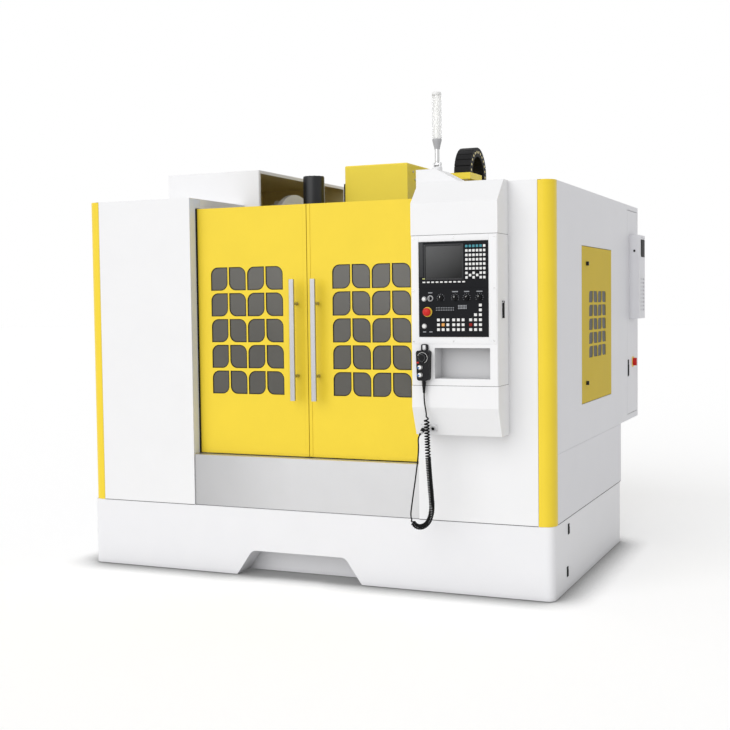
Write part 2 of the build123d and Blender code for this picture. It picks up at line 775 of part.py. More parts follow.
with BuildPart() as left_front_panel:
    front_panel(-half_width + trim_width + seam, opening_left, -1)
finish("left_front_panel", left_front_panel.part)

hatch = 18
with BuildPart() as right_front_panel:
    front_panel(half_width - trim_width - seam, opening_right, 1)
    block(console_left + hatch, console_right - hatch, front_y - 1, front_y + sheet + 1,
          console_mid_low + hatch, console_mid_top - hatch, Mode.SUBTRACT)
finish("right_front_panel", right_front_panel.part)

# Side panels: one folded sheet a side with a seam groove, narrower below the overhang
side_front = front_y + trim_width + seam
side_seam = 1.2
vent_columns = 4
vent_rows = 5
vent_pane_width = 98
vent_pane_height = 62
vent_pitch_y = 110
vent_pitch_z = 75
vent_radius = 24
side_vent = leaf_grid(vent_columns, vent_rows, vent_pane_width,
                      vent_pane_height, vent_pitch_y, vent_pitch_z, vent_radius)
vent_y = front_y + 984
vent_z = 1343
side_door_front = front_y + side_door_front_in
side_door_back = front_y + side_door_back_in
cabinet_door_front = front_y + cabinet_door_front_in
cabinet_door_back = front_y + cabinet_door_back_in


def side_sheet(side):
    """The sheet of one side, from the base to the top."""
    inner, outer = side * (half_width - sheet), side * half_width
    low_x, high_x = min(inner, outer), max(inner, outer)
    block(low_x, high_x, side_front, base_back_y, panel_low_z, cabinet_height)
    block(low_x, high_x, side_front, back_y, overhang_height + seam, cabinet_height)
    groove_inner, groove_outer = side * (half_width - side_seam), side * (half_width + 1)
    block(min(groove_inner, groove_outer), max(groove_inner, groove_outer), side_front, base_back_y,
          overhang_height - seam, overhang_height + seam, Mode.SUBTRACT)


with BuildPart() as left_side_panel:
    side_sheet(-1)
    with BuildSketch(Plane.YZ.offset(-half_width - 1)):
        with Locations((vent_y, vent_z)):
            add(side_vent)
    extrude(amount=sheet + 2, mode=Mode.SUBTRACT)
finish("left_side_panel", left_side_panel.part)

def hinge_lugs(y1, z0, z1):
    """Two lugs behind the right side sheet that hold the pins of a pan door."""
    lug_x = half_width - hinge_radius
    lug_y = y1 - door_gap - hinge_radius
    for z in (z0 - pin_reach - 2, z1):
        block(lug_x - 8, half_width - 1, lug_y - 8, lug_y + 8, z, z + pin_reach + 2)
        rod((lug_x, lug_y, z + pin_reach / 2 + 1), hinge_pin + pin_gap, pin_reach + 4, "Z", Mode.SUBTRACT)


with BuildPart() as right_side_panel:
    side_sheet(1)
    block(half_width - sheet - 1, half_width + 1, side_door_front,
          side_door_back, side_door_low, side_door_top, Mode.SUBTRACT)
    block(half_width - sheet - 1, half_width + 1, cabinet_door_front, cabinet_door_back, cabinet_door_low,
          cabinet_door_top, Mode.SUBTRACT)
    hinge_lugs(side_door_back, side_door_low, side_door_top)
    hinge_lugs(cabinet_door_back, cabinet_door_low, cabinet_door_top)
finish("right_side_panel", right_side_panel.part)

# Yellow side door: a pan with a leaf pattern vent and a hinge rod along its back edge


def pan_door(y0, y1, z0, z1):
    """A door pan in the right side, open on the inside, with its hinge rod at the back edge."""
    outer = half_width
    block(outer - leaf_thickness, outer, y0 + door_gap, y1 - door_gap, z0 + door_gap, z1 - door_gap)
    block(outer - leaf_thickness - 1, outer - sheet, y0 + door_gap + sheet, y1 - door_gap - sheet,
          z0 + door_gap + sheet, z1 - door_gap - sheet, Mode.SUBTRACT)
    hinge_spot = (outer - hinge_radius, y1 - door_gap - hinge_radius, (z0 + z1) / 2)
    rod(hinge_spot, hinge_radius, z1 - z0 - 2 * door_gap - 2 * sheet, "Z")
    rod(hinge_spot, hinge_pin, z1 - z0 + 2 * pin_reach, "Z")


latch_y = front_y + 707
latch_z = (1030, 1670)
latch_radius = 11
with BuildPart() as side_door:
    pan_door(side_door_front, side_door_back, side_door_low, side_door_top)
    with BuildSketch(Plane.YZ.offset(half_width - sheet - 1)):
        with Locations((vent_y, vent_z)):
            add(side_vent)
    extrude(amount=sheet + 2, mode=Mode.SUBTRACT)
    for z in latch_z:
        rod((half_width, latch_y, z), latch_radius + running, 4 * sheet, "X", Mode.SUBTRACT)
finish("side_door", side_door.part)

# Quarter turn latches of the side door: a round head with a thumb bar and a cam behind the sheet
for name, z in zip(("side_latch_lower", "side_latch_upper"), latch_z):
    with BuildPart() as latch:
        rod((half_width - 8, latch_y, z), latch_radius, 24, "X")
        block(half_width + 4, half_width + 14, latch_y - 4, latch_y + 4, z - latch_radius, z + latch_radius)
        block(half_width - 20, half_width - 16, latch_y - 10, latch_y + 10, z - 10, z + 40)
    finish(name, latch.part)

# Electrical cabinet: a steel box behind the right side, open to its door
box_left = 480
box_front = column_front + 30
box_low = 732
box_top = 2042
box_right = half_width - leaf_thickness - 12
with BuildPart() as electrical_cabinet:
    block(box_left, box_right, box_front, back_y - 2 * sheet, box_low, box_top)
    block(box_left + sheet, box_right - sheet, box_front + sheet, back_y - 3 * sheet, box_low + sheet,
          box_top - sheet, Mode.SUBTRACT)
    block(box_right - 2 * sheet, box_right + 1, cabinet_door_front,
          cabinet_door_back - 22, cabinet_door_low, cabinet_door_top, Mode.SUBTRACT)
    block(box_right - 1, half_width - sheet, box_front + 40, box_front + 43, box_low, box_top)
finish("electrical_cabinet", electrical_cabinet.part)

# Mounting plate with drives, contactors and transformer, on four stand-offs
plate_x = box_left + 80
plate_margin = 40
with BuildPart() as drive_plate:
    plate_front = box_front + plate_margin
    plate_back = back_y - 2 * sheet - plate_margin
    plate_low = box_low + plate_margin
    plate_top = box_top - plate_margin
    block(plate_x, plate_x + sheet, plate_front, plate_back, plate_low, plate_top)
    for y in (plate_front + 25, plate_back - 25):
        for z in (plate_low + 25, plate_top - 25):
            rod(((box_left + sheet + plate_x + 1) / 2, y, z), 8, plate_x + 1 - box_left - sheet, "X")
    for drive in range(4):
        y = plate_front + 20 + drive * 76
        block(plate_x + sheet, plate_x + 200, y, y + 68, plate_top - 330, plate_top - 30)
    for contactor in range(6):
        y = plate_front + 20 + contactor * 50
        block(plate_x + sheet, plate_x + 85, y, y + 44, plate_top - 480, plate_top - 400)
    block(plate_x + sheet, plate_x + 190, plate_front + 30,
          plate_front + 230, plate_low + 40, plate_low + 220)
    for duct_z in (plate_top - 370, plate_top - 520, plate_low + 260):
        block(plate_x + sheet, plate_x + 63, plate_front + 10, plate_back - 10, duct_z - 18, duct_z + 18)
finish("drive_plate", drive_plate.part)

# Cabinet door with a bore for the main switch
switch_y = front_y + 2010
switch_z = 1079
switch_radius = 12
switch_seat = 10
switch_stand = 3
switch_knob = 24
knob_reach = 17
grip_reach = 24
lock_y = front_y + 1855
lock_z = 1047
lock_height = 100
with BuildPart() as cabinet_door:
    pan_door(cabinet_door_front, cabinet_door_back, cabinet_door_low, cabinet_door_top)
    rod((half_width, switch_y, switch_z), switch_radius + running, 4 * sheet, "X", Mode.SUBTRACT)
    block(half_width - 1, half_width + 2, lock_y - 13, lock_y + 13,
          lock_z - lock_height / 2, lock_z + lock_height / 2)
finish("cabinet_door", cabinet_door.part)

# Main switch: a square plate face, a round knob and a grip bar
with BuildPart() as main_switch:
    rod((half_width + (knob_reach - switch_seat) / 2, switch_y, switch_z), switch_radius,
        knob_reach + switch_seat, "X")
    rod((half_width + (switch_stand + knob_reach) / 2, switch_y, switch_z), switch_knob,
        knob_reach - switch_stand, "X")
    block(half_width + switch_stand + 1, half_width + grip_reach, switch_y - 9, switch_y + 9,
          switch_z - switch_knob, switch_z + switch_knob)
finish("main_switch", main_switch.part)

# Heat exchanger on the cabinet door: a slim box with a grille
cooler_front = front_y + 1884
cooler_back = front_y + 2064
cooler_low = 1355
cooler_top = 1876
cooler_depth = 66
with BuildPart() as heat_exchanger:
    block(half_width, half_width + cooler_depth, cooler_front, cooler_back, cooler_low, cooler_top)
    fillet(heat_exchanger.edges().group_by(Axis.X)[-1], 5)
    for slat in range(9):
        z = cooler_low + 50 + slat * 24
        block(half_width + cooler_depth - 5, half_width + cooler_depth + 1,
              cooler_front + 25, cooler_back - 25, z, z + 10, Mode.SUBTRACT)
    block(half_width + cooler_depth - 2, half_width + cooler_depth + 1, cooler_front + 35, cooler_back - 25,
          cooler_top - 126, cooler_top - 14, Mode.SUBTRACT)
finish("heat_exchanger", heat_exchanger.part)

# Rear panels: one folded sheet each side of the column, from the base over the overhang to the top
with BuildPart() as rear_panel:
    with BuildSketch(Plane.YZ):
        with BuildLine():
            Polyline(
                (base_back_y, panel_low_z), (base_back_y, overhang_height), (back_y, overhang_height),
                (back_y, cabinet_height - sheet), (back_y - sheet, cabinet_height - sheet),
                (back_y - sheet, overhang_height + sheet), (base_back_y - sheet, overhang_height + sheet),
                (base_back_y - sheet, panel_low_z), close=True)
        make_face()
    extrude(amount=half_width - sheet - seam)
    mirror(about=Plane.YZ)
    with BuildSketch(Plane.XZ.offset(-back_y - 1)):
        Polygon(
            (-bed_rear_half - rear_gap, 0), (bed_rear_half + rear_gap, 0),
            (bed_rear_half + rear_gap, bed_top), (column_top_half + rear_gap, column_top),
            (-column_top_half - rear_gap, column_top), (-bed_rear_half - rear_gap, bed_top), align=None)
    extrude(amount=cabinet_depth, mode=Mode.SUBTRACT)
finish("rear_panel", rear_panel.part)

# Front apron below the doors, with a ledge that runs back to the sill
apron_in = 8
with BuildPart() as front_apron:
    block(opening_left + seam, opening_right - seam, front_y + apron_in, front_y + apron_in + sheet,
          base_height, apron_height)
    block(opening_left + seam, opening_right - seam, front_y + apron_in, front_y + door_in - 4,
          apron_height - sheet, apron_height)
    block(opening_left + seam, opening_right - seam, front_y + door_in - 4 - sheet, front_y + door_in - 4,
          apron_height - 90, apron_height)
    block(opening_left + seam, opening_right - seam, front_y + apron_in,
          front_y + 30, base_height, base_height + sheet)
finish("front_apron", front_apron.part)

# Top frame: the door beam, the roof plates with their flanges, and the duct that carries the lamp
beam_front_in = 118
beam_back_in = 158
beam_low = cabinet_height - 120
beam_top = cabinet_height - 64
flange_low = door_top + 4
duct_left = 627
duct_flat = 733
duct_right = 857
duct_top = cabinet_height + 85
duct_shoulder = cabinet_height + 17
duct_front_in = 60
duct_back_in = 260
lamp_y = front_y + lamp_in
ear_inner = 13
ear_outer = 20
pin_radius = 5
roof_left_back = housing_front - 2 * seam
with BuildPart() as top_frame:
    roof_low = cabinet_height - sheet
    block(-half_width + sheet, half_width - sheet, front_y + beam_front_in,
          front_y + beam_back_in, beam_low, beam_top)
    block(-half_width + sheet, half_width - sheet, front_y + beam_front_in + sheet,
          front_y + beam_back_in - sheet, beam_low - 1, beam_top - sheet, Mode.SUBTRACT)
    for x in (-half_width + sheet, half_width - 2 * sheet):
        block(x, x + sheet, front_y + beam_front_in, front_y + beam_back_in, beam_low, roof_low + 1)
    block(-half_width + sheet, opening_left, front_y + sheet, roof_left_back, roof_low, cabinet_height)
    block(opening_left - sheet, opening_left, front_y + door_in + door_thickness + 6,
          roof_left_back, flange_low, cabinet_height)
    block(opening_right, half_width - sheet, front_y + sheet, back_y, roof_low, cabinet_height)
    block(opening_right, opening_right + sheet, front_y + door_in + door_thickness + 6, column_front,
          flange_low, cabinet_height)
    block(-half_width + sheet, housing_left - 2 * seam, front_y + door_in, back_y, roof_low, cabinet_height)
    block(-half_width + sheet, -column_top_half - rear_gap,
          housing_back + 2 * seam, back_y, roof_low, cabinet_height)
    for corner in (-1, 1):
        notch_x = corner * (half_width - trim_width / 2)
        block(notch_x - trim_width / 2 - seam, notch_x + trim_width / 2 + seam, front_y - 1,
              front_y + trim_width + seam, roof_low - 1, cabinet_height + 1, Mode.SUBTRACT)
    with BuildSketch(Plane.XZ.offset(-front_y - duct_front_in)):
        with BuildLine():
            Polyline(
                (duct_left, roof_low), (duct_left, duct_top), (duct_flat, duct_top),
                (duct_right, duct_shoulder), (duct_right, roof_low), close=True)
        make_face()
    extrude(amount=-(duct_back_in - duct_front_in))
    rod((lamp_x, lamp_y, duct_top + 8), lamp_radius + 2, 18, "Z")
    for side in (-1, 1):
        block(lamp_x + side * ear_inner, lamp_x + side * ear_outer,
              lamp_y - 10, lamp_y + 10, duct_top, lamp_hinge + 10)
    rod((lamp_x, lamp_y, lamp_hinge), pin_radius + running, 60, "X", Mode.SUBTRACT)
finish("top_frame", top_frame.part)

# Signal lamp: a pin, a pole, a collar and the tube
lamp_pole_radius = 12
collar_low = lamp_hinge + 77
tube_low = collar_low + 47
with BuildPart() as signal_lamp:
    rod((lamp_x, lamp_y, lamp_hinge), pin_radius, 2 * ear_outer + 6, "X")
    rod((lamp_x, lamp_y, lamp_hinge), 10, 2 * ear_inner - 2, "X")
    with Locations((lamp_x, lamp_y, lamp_hinge)):
        Cylinder(lamp_pole_radius - 2, 24, align=(Align.CENTER, Align.CENTER, Align.MIN))
    with Locations((lamp_x, lamp_y, lamp_hinge + 16)):
        Cylinder(lamp_pole_radius, collar_low - lamp_hinge - 16,
                 align=(Align.CENTER, Align.CENTER, Align.MIN))
    with Locations((lamp_x, lamp_y, collar_low)):
        Cone(lamp_pole_radius + 2, lamp_radius, tube_low - collar_low,
             align=(Align.CENTER, Align.CENTER, Align.MIN))
    with Locations((lamp_x, lamp_y, tube_low)):
        Cylinder(lamp_radius, lamp_top - tube_low, align=(Align.CENTER, Align.CENTER, Align.MIN))
    fillet(signal_lamp.edges().group_by(Axis.Z)[-1], 6)
finish("signal_lamp", signal_lamp.part)

# Inner guard: sloping chip trays beside the bed, side walls, back walls and the front slope
guard_half = table_length / 2 + x_travel + 100
guard_front_in = 176
guard_back = column_front - 18
guard_top = beam_low - 10
guard_knee = 600
guard_foot_x = bed_half + sheet
guard_foot_z = 500
guard_under = 455
slope_low = 604
with BuildPart() as work_zone_guard:
    with BuildSketch(Plane.XZ.offset(-front_y - guard_front_in)):
        for side in (-1, 1):
            with BuildLine():
                Polyline(
                    (side * guard_half, guard_top), (side * guard_half, guard_knee),
                    (side * guard_foot_x, guard_foot_z), (side * guard_foot_x, guard_under),
                    (side * (guard_foot_x - sheet), guard_under),
                    (side * (guard_foot_x - sheet), guard_foot_z + sheet),
                    (side * (guard_half - sheet), guard_knee + sheet),
                    (side * (guard_half - sheet), guard_top),
                    close=True)
            make_face()
    extrude(amount=-(guard_back - front_y - guard_front_in))
    for side in (-1, 1):
        inner = side * (column_foot_half + 12)
        block(min(inner, side * guard_half), max(inner, side * guard_half), guard_back - sheet, guard_back,
              guard_foot_z + 10, guard_top)
    block(column_foot_half, chain_outer + rear_gap, guard_back - 2 * sheet, guard_back + 1,
          tray_low - z_travel - rear_gap, guard_top + 1, Mode.SUBTRACT)
    with BuildSketch(Plane.YZ):
        with BuildLine():
            Polyline(
                (front_y + door_in + 6, apron_height - 12), (bed_front - 8, slope_low),
                (bed_front - 8, guard_under),
                (bed_front - 8 - sheet, guard_under), (bed_front - 8 - sheet, slope_low - sheet),
                (front_y + door_in + 6, apron_height - 12 - sheet), close=True)
        make_face()
    extrude(amount=guard_half, both=True)
    low_back = base_back_y - sheet
    for side in (-1, 1):
        inner = side * (column_foot_half + 12)
        block(min(inner, side * guard_half), max(inner, side * guard_half), low_back, guard_back + 1,
              guard_under - 1, overhang_height + sheet, Mode.SUBTRACT)
        block(min(inner, side * guard_half), max(inner, side * guard_half), low_back - sheet, low_back,
              guard_foot_z + 10, overhang_height + 2 * sheet)
        block(min(inner, side * guard_half), max(inner, side * guard_half), low_back - sheet, guard_back,
              overhang_height + sheet, overhang_height + 2 * sheet)
    block(-guard_half - 1, 0, housing_front - 12, guard_back + 1, housing_low, guard_top + 1, Mode.SUBTRACT)
    block(-motor_half - 12, motor_half + 12, bed_front - 20, bed_front, y_screw_z - motor_half - 12,
          y_screw_z + motor_half + 8, Mode.SUBTRACT)
finish("work_zone_guard", work_zone_guard.part)

# Sliding doors: a folded pan with leaf windows, hangers on the beam, a pane and a bar handle
window_face = leaf_grid(window_columns, window_rows, pane_width,
                        pane_height, pane_pitch_x, pane_pitch_z, pane_radius)
window_width = (window_columns - 1) * pane_pitch_x + pane_width
window_height = (window_rows - 1) * pane_pitch_z + pane_height
window_z = window_sill + window_height / 2
door_front_y = front_y + door_in
door_back_y = door_front_y + door_thickness
hanger_in = 165
for name, side, outer in (("left", -1, opening_left - door_lap), ("right", 1, opening_right + door_lap)):
    meeting = side * meeting_gap
    low_x, high_x = min(outer, meeting), max(outer, meeting)
    window_x = side * (window_side + window_width / 2)
    with BuildPart() as door:
        block(low_x, high_x, door_front_y, door_back_y, door_bottom, door_top)
        block(low_x + sheet, high_x - sheet, door_front_y + sheet, door_back_y + 1, door_bottom + sheet,
              door_top - sheet, Mode.SUBTRACT)
        with BuildSketch(Plane.XZ.offset(-door_front_y + 1)):
            with Locations((window_x, window_z)):
                add(window_face)
        extrude(amount=-(sheet + 2), mode=Mode.SUBTRACT)
        for hanger_x in (low_x + 90, high_x - 90):
            block(hanger_x - 30, hanger_x + 30, door_back_y - 2,
                  front_y + hanger_in, beam_top + roller_gap, beam_top + 5)
            block(hanger_x - 30, hanger_x + 30, front_y + hanger_in - 4,
                  front_y + hanger_in, beam_top - 24, beam_top + 5)
    finish(f"{name}_door", door.part)

    with BuildPart() as window:
        block(window_x - window_width / 2 - 20, window_x + window_width / 2 + 20, door_front_y + sheet,
              door_front_y + sheet + glass, window_z - window_height / 2 - 20,
              window_z + window_height / 2 + 20)
    finish(f"{name}_window", window.part)

    with BuildPart() as handle:
        bar_x = side * handle_offset
        bar_back = door_front_y - handle_stand
        block(bar_x - handle_width / 2, bar_x + handle_width / 2,
              bar_back - handle_thickness, bar_back, handle_low, handle_high)
        fillet(handle.edges().filter_by(Axis.Z), 3)
        for post_z in (handle_low + handle_post_inset, handle_high - handle_post_inset):
            rod((bar_x, (bar_back - 2 + door_front_y) / 2, post_z), handle_post_radius,
                door_front_y - bar_back + 2, "Y")
    finish(f"{name}_handle", handle.part)

# Console housing: the fixed upper and lower parts of the operator's console on one back frame
console_front = front_y - console_depth
console_back = front_y - sheet - console_clearance
with BuildPart() as console_housing:
    with BuildSketch(Plane.YZ.offset(console_left)):
        with BuildLine():
            Polyline(
                (front_y, console_bottom), (front_y - console_foot, console_bottom),
                (console_front, console_knee), (console_front, console_shoulder),
                (front_y - console_ledge, console_top), (front_y, console_top), close=True)
        make_face()
    extrude(amount=console_right - console_left)
    offset(amount=-sheet, openings=console_housing.faces().sort_by(Axis.Y)[-1])
    block(console_left - 1, console_right + 1, console_front - 1, front_y - sheet, console_mid_low,
          console_mid_top, Mode.SUBTRACT)
    block(console_left, console_right, front_y - sheet, front_y, console_mid_low - 30, console_mid_top + 30)
    block(console_left + hatch, console_right - hatch, front_y - sheet - 1, front_y + 1,
          console_mid_low + hatch, console_mid_top - hatch, Mode.SUBTRACT)
    for z0, z1 in ((console_mid_low - sheet, console_mid_low), (console_mid_top, console_mid_top + sheet)):
        block(console_left + 1, console_right - 1, console_front + 1, front_y - sheet + 1, z0, z1)
        rod((console_left + hinge_radius, console_back - hinge_radius, (z0 + z1) / 2), hinge_pin + pin_gap,
            4 * sheet, "Z", Mode.SUBTRACT)
finish("console_housing", console_housing.part)

# Console door: a box shaped door with the panel opening, the tool niche and the pendant peg
door_low = console_mid_low + console_gap
door_high = console_mid_top - console_gap
panel_fit = 0.5
lock_x = console_right + 2
lock_y0 = console_front + 60
lock_y1 = console_front + 88
lock_ear = 4
lock_pin = 3
lock_low = 1394
lock_pivot = 1474
peg_low = pendant_top + 4
peg_top = pendant_top + 18
with BuildPart() as console_door:
    block(console_left, console_right, console_front, console_back, door_low, door_high)
    fillet(console_door.edges().filter_by(Axis.Z).sort_by(Axis.Y)[:2], 6)
    block(console_left + sheet, console_right - sheet, console_front + sheet, console_back + 1,
          door_low + sheet, door_high - sheet, Mode.SUBTRACT)
    block(niche_left - sheet, niche_right + sheet, console_front + 1, console_front + niche_depth + sheet,
          niche_low - sheet, niche_top + sheet)
    block(niche_left, niche_right, console_front - 1,
          console_front + niche_depth, niche_low, niche_top, Mode.SUBTRACT)
    block(panel_left - panel_fit, panel_right + panel_fit, console_front - 1, console_front + sheet + 1,
          panel_low - panel_fit, panel_top + panel_fit, Mode.SUBTRACT)
    hinge_spot = (console_left + hinge_radius, console_back - hinge_radius, (door_low + door_high) / 2)
    rod(hinge_spot, hinge_radius, door_high - door_low - 2 * sheet, "Z")
    rod(hinge_spot, hinge_pin, door_high - door_low + 2 * pin_reach, "Z")
    block(pendant_x - 7, pendant_x + 7, console_front - 16, console_front + 1, peg_low, peg_top)
    block(pendant_x - 7, pendant_x + 7, console_front - 16, console_front - 12, peg_low, peg_top + 8)
    block(console_right - 1, lock_x, lock_y0, lock_y1, lock_low - 4, lock_pivot + 8)
    for y in (lock_y0, lock_y1 - lock_ear):
        block(console_right - 1, lock_x + 7, y, y + lock_ear, lock_pivot - 6, lock_pivot + 6)
    rod((lock_x + lock_pin + running, (lock_y0 + lock_y1) / 2, lock_pivot),
        lock_pin + running, 40, "Y", Mode.SUBTRACT)
finish("console_door", console_door.part)

# Control panel: two black units with the screen, key fields, knobs and bores for what moves
panel_front = console_front - panel_proud
key = 10.5
key_height = 2.5
screen_left = 763
screen_right = 952
screen_low = 1588
screen_top = 1747
estop_at = (773, 1427)
start_at = (756, 1490)
mode_at = (842, 1494)
feed_at = (915, 1494)
fixed_knobs = ((974, 1495), (1038, 1495))
estop_stem = 11
button_radius = 8
knob_stem = 6
bore_depth = 26


def key_field(x0, x1, columns, z0, z1, rows):
    """Raised square keys in a grid between two corner keys, on the panel's face."""
    for column in range(columns):
        x = x0 + (x1 - x0) * column / max(columns - 1, 1)
        for row in range(rows):
            z = z0 + (z1 - z0) * row / max(rows - 1, 1)
            block(x - key / 2, x + key / 2, panel_front - key_height,
                  panel_front + 1, z - key / 2, z + key / 2)


with BuildPart() as control_panel:
    block(panel_left, panel_right, panel_front, panel_front + panel_body, panel_low, panel_top)
    block(panel_left - 1, panel_right + 1, panel_front - 1, panel_front + 1.5, panel_split - 1.2,
          panel_split + 1.2, Mode.SUBTRACT)
    block(screen_left, screen_right, panel_front - 1,
          panel_front + 3, screen_low, screen_top, Mode.SUBTRACT)
    key_field(975, 1064, 6, 1591, 1741, 8)
    key_field(757, 960, 10, 1571, 1571, 1)
    key_field(830, 878, 3, 1341, 1388, 3)
    key_field(908, 956, 3, 1341, 1388, 3)
    key_field(994, 1043, 3, 1341, 1388, 3)
    key_field(1043, 1043, 1, 1412, 1458, 3)
    block(815, 910, panel_front - 1, panel_front + 1, 1430, 1452, Mode.SUBTRACT)
    block(928, 975, panel_front - 1, panel_front + 1, 1434, 1460, Mode.SUBTRACT)
    for x, z in fixed_knobs:
        rod((x, panel_front - 8, z), 12, 16, "Y")
    rod((756, panel_front - 2, 1358), button_radius, 6, "Y")
    rod((788, panel_front - 4, 1493), 9, 10, "Y")
    for (x, z), stem in ((estop_at, estop_stem), (start_at, button_radius), (mode_at, knob_stem),
                         (feed_at, knob_stem)):
        rod((x, panel_front + bore_depth / 2, z), stem + running, bore_depth, "Y", Mode.SUBTRACT)
finish("control_panel", control_panel.part)

# Emergency stop: a mushroom head on a stem that pushes in
estop_travel = 5
estop_radius = 20
estop_rim = 6
estop_dome = 9
head_stand = estop_travel + 5
stem_length = bore_depth - estop_travel - 1
dome_radius = (estop_radius ** 2 + estop_dome ** 2) / (2 * estop_dome)
half_dome = math.asin(estop_radius / dome_radius) / 2
with BuildPart() as estop_button:
    with BuildSketch(Plane.XY):
        with BuildLine():
            rim_y = -head_stand - estop_rim
            dome_center = rim_y - estop_dome + dome_radius
            Polyline(
                (0, rim_y - estop_dome), (0, stem_length), (estop_stem, stem_length),
                (estop_stem, -head_stand), (estop_radius, -head_stand), (estop_radius, rim_y))
            ThreePointArc(
                (estop_radius, rim_y),
                (dome_radius * math.sin(half_dome), dome_center - dome_radius * math.cos(half_dome)),
                (0, rim_y - estop_dome))
        make_face()
    revolve(axis=Axis.Y)
finish("estop_button", Pos(estop_at[0], panel_front, estop_at[1]) * estop_button.part)

# Start button: a flat push button
start_travel = 3
with BuildPart() as start_button:
    rod((start_at[0], panel_front + (bore_depth - start_travel - 6) / 2 - 3, start_at[1]), button_radius,
        bore_depth - start_travel, "Y")
finish("start_button", start_button.part)

# Rotary knobs: a stem, a skirt and a pointer bar
knob_radius = 12
for name, (x, z) in (("mode_knob", mode_at), ("feed_knob", feed_at)):
    with BuildPart() as knob:
        rod((x, panel_front + 8, z), knob_stem, 22, "Y")
        rod((x, panel_front - 5, z), knob_radius, 9, "Y")
        block(x - 3.5, x + 3.5, panel_front - 17, panel_front - 8, z - knob_radius + 1, z + knob_radius - 1)
    finish(name, knob.part)

# Console lock: a flat paddle on a pin between two ears in the side of the console door
with BuildPart() as console_lock:
    block(lock_x + running, lock_x + 2 * lock_pin + running, lock_y0 + lock_ear + running,
          lock_y1 - lock_ear - running, lock_low, lock_pivot)
    rod((lock_x + lock_pin + running, (lock_y0 + lock_y1) / 2, lock_pivot),
        lock_pin, lock_y1 - lock_y0, "Y")
finish("console_lock", console_lock.part)

# Hand pendant: a tapered case with a hanger loop, two selector knobs, and its strain relief
pendant_back = console_front - 0.3
pendant_front = pendant_back - pendant_depth
dial_z = 1205
dial_radius = 21
loop_top = pendant_top + 30
with BuildPart() as pendant:
    with BuildSketch(Plane.XZ.offset(-pendant_back)):
        with Locations((pendant_x, (pendant_low + pendant_top) / 2)):
            Trapezoid(pendant_width, pendant_top - pendant_low, 92)
    extrude(amount=pendant_depth)
    fillet(pendant.edges().filter_by(Axis.Y), 12)
    with BuildSketch(Plane.XZ.offset(-pendant_back + 3)):
        with Locations((pendant_x, (pendant_top + loop_top) / 2 - 4)):
            RectangleRounded(36, loop_top - pendant_top + 8, 8)
            RectangleRounded(20, loop_top - pendant_top - 6, 4, mode=Mode.SUBTRACT)
    extrude(amount=6)
    with Locations((pendant_x, pendant_back - pendant_depth / 2, pendant_low + 1)):
        Cone(5, 10, pendant_low + 1 - relief_low, align=(Align.CENTER, Align.CENTER, Align.MAX))
    for z in (1122, 1159):
        rod((pendant_x - 10, pendant_front - 6, z), 10, 16, "Y")
    rod((pendant_x, pendant_front + 10, dial_z), knob_stem + running, 24, "Y", Mode.SUBTRACT)
finish("pendant", pendant.part)

# Pendant hand wheel: a knurled disc with a finger hollow
with BuildPart() as pendant_dial:
    with BuildSketch(Plane.XZ.offset(-pendant_front + running)):
        with Locations((pendant_x, dial_z)):
            Circle(dial_radius)
            with PolarLocations(dial_radius, 20):
                Circle(1.6, mode=Mode.SUBTRACT)
    extrude(amount=10)
    rod((pendant_x, pendant_front + 8, dial_z), knob_stem, 20, "Y")
    rod((pendant_x + 10, pendant_front - 10, dial_z + 8), 5, 4, "Y", Mode.SUBTRACT)
finish("pendant_dial", pendant_dial.part)

# Sockets on the lower chamfer of the console: one takes the pendant's plug, one is capped
chamfer_lean = math.atan2(console_knee - console_bottom, console_depth - console_foot)
socket_out = 140
socket_z = console_knee - (console_depth - socket_out) * math.tan(chamfer_lean)
socket_plane = Plane(
    origin=(0, front_y - socket_out, socket_z), x_dir=(1, 0, 0),
    z_dir=(0, -math.sin(chamfer_lean), -math.cos(chamfer_lean)))
socket_x = 738
spare_x = 784
plug_length = 74
with BuildPart() as pendant_socket:
    for x in (socket_x, spare_x):
        with BuildSketch(socket_plane):
            with Locations((x, 0)):
                RectangleRounded(40, 40, 4)
        extrude(amount=4)
        with BuildSketch(socket_plane.offset(4)):
            with Locations((x, 0)):
                Circle(14)
        extrude(amount=10)
    with BuildSketch(socket_plane.offset(14)):
        with Locations((socket_x, 0)):
            Circle(11)
    extrude(amount=plug_length - 14, taper=4)
finish("pendant_socket", pendant_socket.part)

# The pendant's cord: a plain lead, a coiled part and a plain tail up to the plug. Each list gives
# steps from the pendant's axis in X and Y, and the height. A stretch starts in line with the one before.
cord_y = pendant_back - pendant_depth / 2


def cord_point(step_x, step_y, z):
    """A point of the cord beside the pendant's axis."""
    return Vector(pendant_x + step_x, cord_y + step_y, z)


